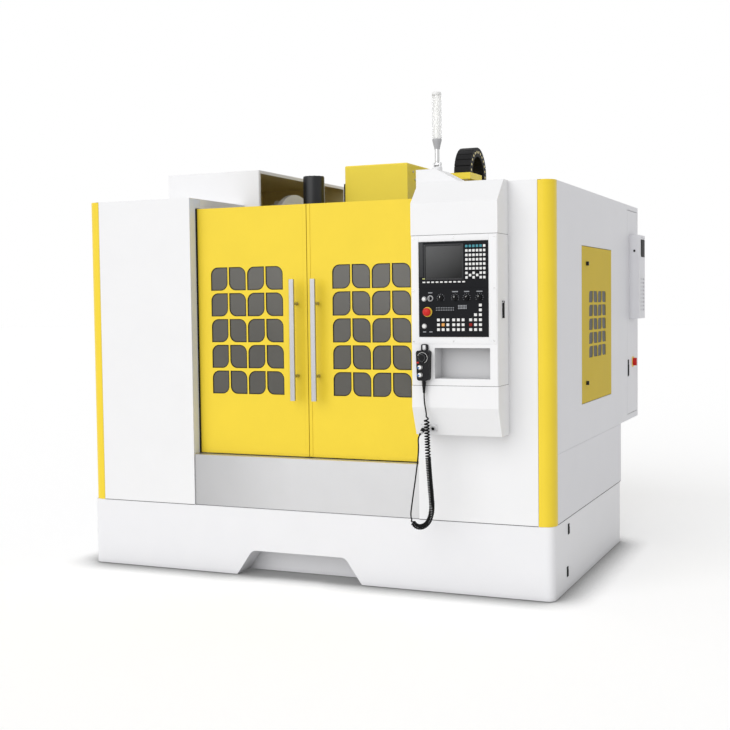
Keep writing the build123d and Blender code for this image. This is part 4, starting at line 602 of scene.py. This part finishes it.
UPPER_KEY, SOFT_KEY, LOWER_KEY, COLOURED_KEY = (11.8, 12.2), (14, 7), (14.2, 13.4), (14.8, 14.4)
upper_x = [975 + 17.8 * column for column in range(6)]
upper_z = [1741 - 21.43 * row for row in range(8)]
top_row, letter_rows, arrow_rows = upper_z[0], upper_z[1:6], upper_z[6:]
letters = [(x, z) for z in letter_rows for x in upper_x]
arrows = [(upper_x[column], z) for z in arrow_rows for column in (0, 2, 4, 5)]
arrows += [(upper_x[column], sum(arrow_rows) / 2) for column in (1, 3)]
key_caps("upper_keys", key_white, letters + arrows + [(upper_x[5], top_row)], UPPER_KEY)
key_caps("teal_keys", key_teal, [(x, top_row) for x in upper_x[:5]], UPPER_KEY)
key_caps("soft_keys", key_white, [(757 + 22.56 * column, 1571) for column in range(10)], SOFT_KEY)
lower_z = (1388, 1364.5, 1341)
lower_x = (830, 854, 878, 908, 932, 956, 994, 1018.5, 1043)
coloured = {(854, 1364.5): key_orange, (994, 1364.5): dark_red}
plain = [(x, z) for x in lower_x for z in lower_z if (x, z) not in coloured]
plain += [(1043, 1412), (1043, 1435), (1043, 1458), (1018.5, 1412)]
key_caps("lower_keys", key_white, plain, LOWER_KEY)
for number, (spot, finish) in enumerate(coloured.items()):
    key_caps(f"coloured_key_{number}", finish, [spot], COLOURED_KEY)

# Screen: glass, a bezel of four bars round it, the strip beside it and a lit dot below
screen_x, screen_z = (763, 952), (1588, 1747)
glass_gap, bar_width, bar_gap = 0.4, 7, 0.2
screen = Piece("screen_glass", "console_door", screen_glass)
screen.box(screen_x[0] + glass_gap, screen_x[1] - glass_gap, PANEL + 1.6, PANEL + SCREEN_DEPTH - SEAT,
           screen_z[0] + glass_gap, screen_z[1] - glass_gap, 0.4)
screen.done()
bezel = Piece("screen_bezel", "console_door", black_metal)
bezel_depth = (PANEL - 2.5, PANEL + SCREEN_DEPTH + SEAT)
for x in (screen_x[0] - bar_width, screen_x[1]):
    bezel.box(x, x + bar_width, *bezel_depth, screen_z[0] - bar_width, screen_z[1] + bar_width, 1.2)
for z in (screen_z[1], screen_z[0] - bar_width):
    bezel.box(screen_x[0] + bar_gap, screen_x[1] - bar_gap, *bezel_depth, z, z + bar_width, 1.2)
bezel.box(731, 752, PANEL - 1.2, PANEL + SEAT, 1596, 1762, 0.5)
bezel.done("black_plastic")
lit_dot = Piece("panel_led", "console_door", led_amber)
lit_dot.plate((755.5, 1588), (13, 5), PANEL - 4, PANEL + SEAT, 1.2)
lit_dot.done()


def ticks(piece, spot, radius, count, sweep, size, front, back, bevel, lean=math.pi / 2):
    """Small bars in an arc about a spot of the front. The sweep is its first and last angle."""
    first, last = sweep
    for step in range(count):
        a = math.radians(first + (last - first) * step / (count - 1))
        place = (spot[0] + radius * math.cos(a), spot[1] + radius * math.sin(a))
        piece.plate(place, size, front, back, bevel, 1, Matrix.Rotation(lean - a, 4, "Y"))


# Marks: two rows of lights in a groove, two rows of a small display, the knobs' scales and plain
# bars where the panel is lettered. Two of the four knobs turn, and two stay still
turning = {body: (middle_of(body)[0], middle_of(body)[2]) for body in ("mode_knob", "feed_knob")}
still_lean = {(974, 1495): -40, (1038, 1495): 0}
marks = Piece("panel_marks", "console_door", mark_grey)
for z in (1446.5, 1435.5):
    for column in range(11):
        marks.plate((819 + 8.7 * column, z), (4, 5.2), PANEL - 0.4, PANEL + GROOVE + SEAT, 0.5)
for z in (1444, 1455):
    for column in range(6):
        marks.plate((932.5 + 7.6 * column, z), (5.2, 8), PANEL - 0.2, PANEL + GROOVE + SEAT, 0.5)
for spot in (*turning.values(), *still_lean):
    ticks(marks, spot, 18.5, 9, (-30, 210), (1.6, 4), PANEL - 0.6, PANEL + SEAT, 0.2)
for x, z, wide in ((788, 1520, 22), (915, 1524, 30), (974, 1524, 26), (1038, 1524, 30), (757, 1330, 16),
                   (790, 1330, 16)):
    marks.plate((x, z), (wide, 5), PANEL - 0.5, PANEL + SEAT, 0.3)
marks.done()
for body, (x, z) in turning.items():
    knob_top = ends_of(body)[1][0]
    pointer = Piece(f"{body}_line", body, key_white)
    pointer.box(x - 1, x + 1, knob_top - 0.6, knob_top + 0.1, z + 1, z + 10.4, 0.3)
    pointer.done()
still = Piece("still_knobs", "console_door", black)
lines = Piece("still_knob_lines", "console_door", key_white)
for (x, z), degrees in still_lean.items():
    lean = Matrix.Rotation(math.radians(-degrees), 4, "Y")
    still.rod((x, PANEL + 0.5, z), "-Y", 12.6, 9, 1)
    still.plate((x, z), (7.2, 22), PANEL - 22.5, PANEL - 15.5, 1.2, 2, lean)
    tip = lean @ Vector((0, 0, 6))
    lines.plate((x + tip.x, z + tip.z), (1.8, 8), PANEL - 23.1, PANEL - 22.3, 0.2, 1, lean)
still.done("black_plastic")
lines.done()

# Push buttons, key switch and the ring under the emergency stop
start_x, _, start_z = middle_of("start_button")
stop_x, _, stop_z = middle_of("estop_button")
white_button, key_switch = (756, 1358), (788, 1493)
caps = Piece("white_button", "console_door", key_white)
caps.lathe((white_button[0], PANEL, white_button[1]), "-Y",
           [(9.2, -0.5), (9.2, 5), (8.4, 6), (5, 6.8), (0, 7)], 32)
caps.done()
cap = Piece("start_cap", "start_button", key_white)
cap.lathe((start_x, PANEL, start_z), "-Y",
          [(8.6, 3.4), (8.9, 4), (8.9, 6), (8, 7.2), (5, 8), (0, 8.2)], 32)
cap.done()
rings = Piece("button_rings", "console_door", lamp_grey)
for (x, z), inner, outer in ((white_button, 9.6, 12.5), ((start_x, start_z), 9.6, 12.5),
                             (key_switch, 9.4, 15)):
    rings.lathe((x, PANEL, z), "-Y",
                [(inner, -0.3), (outer, -0.3), (outer, 1.2), (outer - 1, 2), (inner, 2)], 36, closed=True)
rings.plate(key_switch, (2.8, 16), PANEL - 22, PANEL - 8.5, 0.8)
rings.done()
collar = Piece("stop_collar", "console_door", yellow_plate)
collar.lathe((stop_x, PANEL, stop_z), "-Y", [(12, -0.3), (24, -0.3), (24, 3), (22.5, 4.4), (12, 4.4)], 40,
             closed=True)
collar.done()

# Frame plate and screws round the panel
plate_x, plate_z, plate_joint = (690, 727.6, 1083.4, 1122), (1272, 1304.6, 1767.5, 1795.5), 0.3
plate_depth = (CONSOLE - 1.6, CONSOLE + SEAT)
frame_plate = Piece("panel_frame", "console_door", white)
for x0, x1 in (plate_x[:2], plate_x[2:]):
    frame_plate.box(x0, x1, *plate_depth, plate_z[0], plate_z[3], 0.5)
for z0, z1 in (plate_z[2:], plate_z[:2]):
    frame_plate.box(plate_x[1] + plate_joint, plate_x[2] - plate_joint, *plate_depth, z0, z1, 0.5)
frame_plate.done("white_paint")
screws = Piece("console_screws", "console_door", steel)
for x, z in ((703, 1784), (907, 1786), (1111, 1786), (699, 1532), (1111, 1539), (700, 1283), (905, 1284),
             (1109, 1286)):
    screws.screw((x, CONSOLE - 1.4, z), "-Y", 4.6, 2.4)
screws.done("bare_steel")

# Dark seams: between the console's parts, and where the cabinet stands on its base
seams = Piece("console_seams", "machine", dark_gap)
for z in (1068, 1799):
    seams.box(CONSOLE_X[0] + 1.5, CONSOLE_X[1] - 1.5, CONSOLE + 1.6, FRONT - 4, z - 1, z + 1, 0.3, 1)
seam_z = (BASE_TOP - 0.4, BASE_TOP + 2.4)
panel_end = SIDE - 78
for x0, x1, face in ((-panel_end, OPENING_X[0] - 1, FRONT), (OPENING_X[1] + 1, panel_end, FRONT),
                     (OPENING_X[0] + 1, OPENING_X[1] - 1, APRON)):
    seams.box(x0, x1, face - 0.5, face + 3, *seam_z, 0.2, 1)
for x0 in (SIDE - 3, -SIDE - 0.5):
    seams.box(x0, x0 + 3.5, FRONT + 82, BASE_BACK - 5, *seam_z, 0.2, 1)
seams.done()

# Sockets on the console's chamfer: screws at the plates' corners, the plug's ring and its boot, and
# the spare socket's ring and hole
PLUG_X, SPARE_X = plug_foot.x, plug_foot.x + 0.046
screw_out, ring_out, boot_out, screw_step = 0.004, 0.0142, 0.0290, 0.0155
socket_turn = plug_axis.to_track_quat("Z", "Y").to_matrix().to_4x4()
socket_across = Vector((1, 0, 0))
socket_rise = plug_axis.cross(socket_across)


def on_chamfer(x, out, across=0.0, rise=0.0):
    """A spot beside a socket and out of the chamfer, in millimetres."""
    spot = Vector((x, plug_foot.y, plug_foot.z)) + socket_across * across + socket_rise * rise
    return (spot + plug_axis * out) / MM


plates = Piece("socket_screws", "machine", silver)
for x in (PLUG_X, SPARE_X):
    for aside in (-screw_step, screw_step):
        for rise in (-screw_step, screw_step):
            plates.lathe(on_chamfer(x, screw_out, aside, rise), None,
                         [(2.6, -0.3), (2.6, 1), (2, 1.6), (0, 1.6)], 16, socket_turn)
plates.lathe(on_chamfer(PLUG_X, ring_out), None, [(13.4, -1), (13.4, 14), (12.4, 15), (8, 15), (8, -1)], 32,
             socket_turn, closed=True)
plates.done("bare_steel")
ring = Piece("spare_socket_ring", "machine", silver)
ring.lathe(on_chamfer(SPARE_X, ring_out), None,
           [(14.4, -3), (14.4, 1.6), (13.4, 2.4), (8.4, 2.4), (8.4, -3)], 32, socket_turn, closed=True)
ring.done("silver_paint")
hole = Piece("spare_socket_hole", "machine", black)
hole.lathe(on_chamfer(SPARE_X, ring_out), None,
           [(8.2, -3), (8.2, 1.4), (7.6, 2), (6.4, 2), (5.8, 0.5), (0, 0.5)], 32, socket_turn)
hole.done("black_plastic")
boot = Piece("plug_boot", "machine", black)
boot.lathe(on_chamfer(PLUG_X, boot_out), None,
           [(10.6, 0), (11, 2), (10.2, 14), (8, 28), (6.4, 37), (4.8, 48), (4.2, 56), (0, 56)], 32,
           socket_turn)
plug_boot = boot.done("black_plastic")
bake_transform(cord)

# Hand pendant: a printed arc round the dial, the dial's own ticks, a red mark, two selector switches
# and the ribs of the cord's relief
PENDANT, DIAL = CONSOLE - 40.3, ends_of("pendant_dial")[1][0] + 0.1
dial_x, _, dial_z = middle_of("pendant_dial")
arc = Piece("pendant_arc", "console_door", key_white)
ticks(arc, (dial_x, dial_z), 25.5, 26, (-62, 150), (1.8, 3.8), PENDANT - 0.5, PENDANT + 0.3, 0.2, lean=0)
arc.done()
red_mark = Piece("pendant_red_mark", "console_door", red)
red_mark.box(727, 739, PENDANT - 1.6, PENDANT + 0.3, 1178, 1185.5, 1)
red_mark.done("red_plastic")
dial_print = Piece("pendant_dial_rim", "pendant_dial", mark_grey)
ticks(dial_print, (dial_x, dial_z), 17.5, 20, (0, 342), (0.8, 3.2), DIAL - 0.35, DIAL + 0.2, 0.1)
dial_print.done()
for number, z in enumerate((1122, 1159)):
    selector = Piece(f"pendant_selector_{number}", "console_door", steel)
    selector.lathe((747, PENDANT, z), "-Y",
                   [(11.6, -0.5), (11.6, 2.5), (10.6, 3.5), (10.6, 14), (9.8, 15.2), (0, 15.4)], 32)
    selector.done("bare_steel")
    wing = Piece(f"pendant_selector_mark_{number}", "console_door", blue)
    wing.box(736.5, 745, PENDANT - 17, PENDANT - 15, z - 6.5, z + 3, 0.8, 2,
             Matrix.Rotation(math.radians(35), 4, "Y"))
    wing.done()
ribs = Piece("pendant_relief_ribs", "console_door", black)
for step in range(9):
    radius = 10.6 - 0.52 * step
    ribs.lathe((cord_x / MM, cord_y / MM, 1086 - 6 * step), "-Z",
               [(radius, 0), (radius + 0.4, 1), (radius, 3)], 28)
ribs.done("pendant_plastic")

# Front doors: black gaskets round the panes, which are leaves with two round corners, and a yellow
# lip on each door's inner edge
PANE_WIDTH, PANE_HEIGHT, PANE_RADIUS = 104, 127, 42
PANE_STEP_X, PANE_STEP_Z = 113, 141.5
WINDOW_X, _, WINDOW_Z = middle_of("right_window")
gasket_depth, gasket_margin, gasket_rim = (DOOR + 0.6, DOOR + 2.9), 0.4, 4.2


def leaf(lean, margin):
    """The outline of one pane, drawn in by a margin."""
    w, h, r = PANE_WIDTH / 2 - margin, PANE_HEIGHT / 2 - margin, PANE_RADIUS - margin
    outline = []
    for quarter, (sx, sz) in enumerate(((1, 1), (-1, 1), (-1, -1), (1, -1))):
        if sx * sz * lean > 0:
            outline.append((sx * w, sz * h))
            continue
        for step in range(9):
            a = math.radians(90 * (quarter + step / 8))
            outline.append((sx * (w - r) + r * math.cos(a), sz * (h - r) + r * math.sin(a)))
    return outline


def gasket(piece, middle_x, middle_z, lean):
    """A flat ring that follows a pane's outline."""
    outer, inner = leaf(lean, gasket_margin), leaf(lean, gasket_rim)
    front, back = gasket_depth
    loops = []
    for outline, depth in ((outer, front), (outer, back), (inner, back), (inner, front)):
        spots = [Vector((middle_x + u, depth, middle_z + v)) * MM for u, v in outline]
        loops.append([piece.bm.verts.new(spot) for spot in spots])
    count = len(outer)
    for first, second in zip(loops, loops[1:] + loops[:1]):
        for i in range(count):
            after = (i + 1) % count
            piece.bm.faces.new((first[i], first[after], second[after], second[i]))


for side, door_body in ((-1, "left_door"), (1, "right_door")):
    rims = Piece(f"{door_body}_gaskets", door_body, black)
    for column in range(4):
        for row in range(5):
            gasket(rims, side * WINDOW_X + (column - 1.5) * PANE_STEP_X, WINDOW_Z + (row - 2) * PANE_STEP_Z,
                   1 if column % 2 == 0 else -1)
    rims.done("black_plastic")
    lip = Piece(f"{door_body}_lip", door_body, yellow)
    lip.box(*sorted((side * 1.8, side * 20)), DOOR - 2.6, DOOR + 0.3, DOOR_Z[0] + 1, DOOR_Z[1] - 1, 1.8, 3)
    lip.done("yellow_paint")

# Caps on the corner trims, which are round at the corner and end square on both sides
trim_round, arc_steps, cap_thickness, cap_rise = 60, 12, 3.2, 0.4
round_x, round_y = SIDE - trim_round, FRONT + trim_round
cap_place = Matrix.Translation((0, 0, (ROOF + cap_rise - cap_thickness) * MM))
caps = Piece("trim_caps", "machine", yellow)
for side in (-1, 1):
    outline = [(SIDE - TRIM, FRONT), (round_x, FRONT)]
    for step in range(1, arc_steps + 1):
        a = math.radians(90 * step / arc_steps)
        outline.append((round_x + trim_round * math.sin(a), round_y - trim_round * math.cos(a)))
    outline += [(SIDE, FRONT + TRIM), (SIDE - TRIM, FRONT + TRIM)]
    outline = [(side * x, y) for x, y in outline][::side]
    caps.prism(outline, cap_place, cap_thickness, 0.8)
caps.done("yellow_paint")

# Lining of the tool niche: back, two sides, floor and top, in a grey that is painted shade of the recess
NICHE_X, NICHE_Z, NICHE_BACK = (806, 1088), (1102, 1252), CONSOLE + 105
lining_thickness, lining_gap = 1, 0.2
niche = Piece("niche_lining", "console_door", shaded_niche_grey)
niche.box(NICHE_X[0] + lining_gap, NICHE_X[1] - lining_gap, NICHE_BACK - 0.8, NICHE_BACK + 0.1,
          NICHE_Z[0] + lining_gap, NICHE_Z[1] - lining_gap, 0.2, 1)
for x in (NICHE_X[0], NICHE_X[1] - lining_thickness):
    niche.box(x, x + lining_thickness, CONSOLE + 2, NICHE_BACK - 0.9, NICHE_Z[0] + lining_gap,
              NICHE_Z[1] - lining_gap, 0.2, 1)
for z in (NICHE_Z[0], NICHE_Z[1] - lining_thickness):
    niche.box(NICHE_X[0] + 1.2, NICHE_X[1] - 1.2, CONSOLE + 2, NICHE_BACK - 0.9,
              z, z + lining_thickness, 0.2, 1)
niche.done("white_paint")

# Jambs of the opening, beside the doors and above them, and the dark seals behind the jambs
door_low, seal_width = DOOR_Z[0] + 1, 8.3
jamb_x = (OPENING_X[0] - 0.3, OPENING_X[1] - 0.8)
jambs = Piece("opening_jambs", "machine", jamb_silver)
for front, back, low in ((FRONT + 1, DOOR - 8.5, door_low), (DOOR - 8, DOOR + 46, DOOR_Z[1] + 6)):
    for x in jamb_x:
        jambs.box(x, x + 1.1, front, back, low, ROOF - 4, 0.3, 1)
jambs.done("silver_paint")
seals = Piece("door_seals", "machine", black)
for x in (OPENING_X[0] - 0.3, OPENING_X[1] + 0.3 - seal_width):
    seals.box(x, x + seal_width, DOOR - 8, DOOR - 1, door_low, DOOR_Z[1] + 1, 1, 2)
seals.done("black_plastic")

# Cable chain: links that stand on the head's arm, roll over and hang down to the column
chain_x, chain_y, _ = middle_of("cable_chain")
chain_z, chain_bend, chain_half, chain_hang = 2276, 141, 52, 276
link_count, link_height, link_overlap, pin_radius = 20, 57, 1.6, 8
chain = Piece("chain_links", None, black)
pins = Piece("chain_pins", None, pale_pin)
arc_length = math.pi * chain_bend
link_length = (arc_length + chain_hang) / link_count
half = link_length / 2 + link_overlap
for link in range(link_count):
    run = link_length * (link + 0.5)
    if run < arc_length:
        a = math.pi - run / chain_bend
        middle_y, middle_z = chain_y + chain_bend * math.cos(a), chain_z + chain_bend * math.sin(a)
        lean = Matrix.Rotation(a - math.pi / 2, 4, "X")
    else:
        middle_y, middle_z = chain_y + chain_bend, chain_z - (run - arc_length)
        lean = Matrix.Rotation(-math.pi / 2, 4, "X")
    chain.box(chain_x - chain_half + 0.3, chain_x + chain_half - 0.3, middle_y - half, middle_y + half,
              middle_z - link_height / 2, middle_z + link_height / 2, 2.4, 2, lean)
    for end, axis in ((-1, "-X"), (1, "X")):
        spot = (chain_x + end * (chain_half - 1.2), middle_y, middle_z)
        pins.rod(spot, axis, pin_radius, 2.2, 0.5, 20)
chain_links = chain.done("black_plastic")
chain_pins = pins.done()
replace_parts(chain_links, "cable_chain")
for moved in (chain_links, chain_pins):
    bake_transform(moved)

# Head cover: bolts on both sides, and the dark hose behind its left edge
cover_left, cover_right = -174.8, 226.8
cover_corners = ((32, 2251), (450, 2251), (450, 1760), (32, 1760))
bolts = Piece("head_cover_bolts", "headstock", steel)
for y, z in (*cover_corners, (66, 2208)):
    bolts.screw((cover_right, y, z), "X", 7, 4)
for y, z in cover_corners:
    bolts.screw((cover_left, y, z), "-X", 7, 4)
bolts.done("bare_steel")
hose_x, hose_y, hose_low = -184, -42, 2082
hose = Piece("head_hose", "headstock", black)
for step in range(17):
    hose.rod((hose_x, hose_y, hose_low + 6.6 * step), "Z", 7.6, 5.4, 1, 20)
hose.rod((hose_x, hose_y, hose_low), "Z", 6.4, 110, 0.5, 20)
for z in (hose_low + 10, hose_low + 90):
    hose.box(hose_x - 6, hose_x + 9.5, hose_y - 6, hose_y + 6, z, z + 10, 1)
hose.done("black_plastic")

# Tool magazine: a lining inside the left, back, front and top walls of the housing
inset, mouth = 5, 2
(left, right), (front, back), (low, high) = ends_of("magazine_housing")
left, right = left + inset, right - mouth
front, back = front + inset, back - inset
low, high = low + inset, high - inset
lining = Piece("magazine_lining", "machine", olive)
lining.box(left - 1.4, left - 0.2, front, back, low, high, 0.3, 1)
lining.box(left, right, back + 0.2, back + 1.6, low, high, 0.3, 1)
lining.box(left, right, front - 1.4, front - 0.2, low, high, 0.3, 1)
lining.box(left, right, front, back, high + 0.2, high + 1.4, 0.3, 1)
lining.done()

# The changer's motor: a cowl with a ring of vents on top, and its terminal box
motor_x, motor_y, _ = middle_of("changer_motor")
vents, vent_circle = 12, 56
cowl = Piece("motor_cowl", "machine", black_metal)
cowl.lathe((motor_x, motor_y, ROOF), "Z", [
    (62.4, 0), (63.6, 1), (63.6, 158), (62.6, 164), (57, 167.6), (50, 168.4), (0, 168.4)], 64)
for step in range(vents):
    a = 2 * math.pi * step / vents
    x, y = motor_x + vent_circle * math.cos(a), motor_y + vent_circle * math.sin(a)
    cowl.box(x - 3, x + 3, y - 3, y + 3, ROOF + 165, ROOF + 169.6, 1)
cowl.box(motor_x + 50, motor_x + 84, motor_y - 28, motor_y + 28, ROOF - 70, ROOF - 10, 3)
cowl.done("black_metal")

# Signal lamp: hinge, pole, cone, clear tube with its reflectors and cap
lamp_x, lamp_y, _ = middle_of("signal_lamp")
HINGE_Z, CONE_Z, TUBE_Z, TUBE_LENGTH = 2178, 2255, 2306, 224
reflectors, reflector_circle = 10, 19
pole = Piece("lamp_pole", "signal_lamp", steel)
pole.rod((lamp_x - 23, lamp_y, HINGE_Z), "X", 5, 46, 0.8, 24)
pole.rod((lamp_x - 12, lamp_y, HINGE_Z), "X", 10, 24, 0.8, 32)
pole.lathe((lamp_x, lamp_y, HINGE_Z), "Z", [(10, 0), (10, 15), (12, 17), (12, CONE_Z - HINGE_Z)], 32)
cone = Piece("lamp_cone", "signal_lamp", lamp_grey)
cone.lathe((lamp_x, lamp_y, CONE_Z), "Z",
           [(12, 0), (14, 0.4), (15, 8), (22, 36), (24, 44), (24, 52), (20, 53)], 40)
lamp_cap = Piece("lamp_cap", "signal_lamp", key_white)
lamp_cap.lathe((lamp_x, lamp_y, TUBE_Z + TUBE_LENGTH), "Z",
               [(20, 0), (23.8, 0.4), (23.8, 9), (22, 13), (16, 15), (0, 15)], 40)
# The reflectors' glow is painted light inside the tube
core = Piece("lamp_reflectors", "signal_lamp", glowing_lamp_core)
core.lathe((lamp_x, lamp_y, TUBE_Z), "Z", [(9, 0), (9, TUBE_LENGTH + 2), (0, TUBE_LENGTH + 2)], 32)
for step in range(reflectors):
    a = 2 * math.pi * step / reflectors
    x, y = lamp_x + reflector_circle * math.cos(a), lamp_y + reflector_circle * math.sin(a)
    core.rod((x, y, TUBE_Z), "Z", 1.2, TUBE_LENGTH, 0.2, 10)
tube = Piece("lamp_tube", "signal_lamp", lamp_clear)
tube.lathe((lamp_x, lamp_y, TUBE_Z), "Z",
           [(23.6, 0), (23.6, TUBE_LENGTH), (21.6, TUBE_LENGTH), (21.6, 0)], 48, closed=True)
lamp_cap.done("lamp_plastic")
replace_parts(pole.done("bare_steel"), "signal_lamp")
for piece in (cone, core, tube):
    piece.done("lamp_plastic")

# Mesh behind the vents of both sides
mesh_y, mesh_z, mesh_depth, mesh_thickness = (-276, 184), (1150, 1536), 3.2, 2.4
for name, body, x in (("side_door_mesh", "side_door", SIDE - mesh_depth - mesh_thickness),
                      ("left_side_mesh", "machine", mesh_depth - SIDE)):
    vent = Piece(name, body, mesh_grey)
    vent.box(x, x + mesh_thickness, *mesh_y, *mesh_z, 0.5)
    vent.done()


def plane_lock(piece, y, z, width, height):
    """A flush lever lock on the right side: frame, lever and keyhole."""
    piece.box(SIDE - 0.4, SIDE + 3, y - width / 2, y + width / 2, z - height / 2, z + height / 2, 1.2)
    piece.box(SIDE + 2.8, SIDE + 5.4, y - width * 0.3, y + width * 0.3, z - height * 0.44,
              z + height * 0.2, 1.2)
    piece.rod((SIDE + 2.8, y, z + height * 0.34), "X", width * 0.26, 1.6, 0.4, 20)


# Locks of the base and of the cabinet, and the square plate under the main switch
locks = Piece("base_locks", "machine", black)
plane_lock(locks, -740, 314, 26, 54)
plane_lock(locks, -765, 100, 26, 52)
locks.done("black_plastic")
door_lock = Piece("cabinet_lock", "cabinet_door", black)
plane_lock(door_lock, 825, 1047, 28, 104)
door_lock.done("black_plastic")
_, switch_y, switch_z = middle_of("main_switch")
switch_plate = Piece("main_switch_plate", "cabinet_door", yellow_plate)
switch_plate.lathe((SIDE, switch_y, switch_z), None,
                   [(18, 0.05), (45, 0.05), (45, 1.6), (43.6, 2.4), (18, 2.4)], 4,
                   Matrix.Rotation(math.pi / 2, 4, "Y") @ Matrix.Rotation(math.pi / 4, 4, "Z"), closed=True)
switch_plate.done()

# Heat exchanger: display and lock
(near, outer), (front, back), (_, top) = ends_of("heat_exchanger")
display = Piece("exchanger_display", "cabinet_door", black)
display.box(outer - 0.3, outer + 2.2, front + 43, back - 22, top - 136, top - 28, 1)
display.rod(((near + outer) / 2, front + 0.3, top - 99), "-Y", 7, 3, 0.6, 20)
display.done("black_plastic")
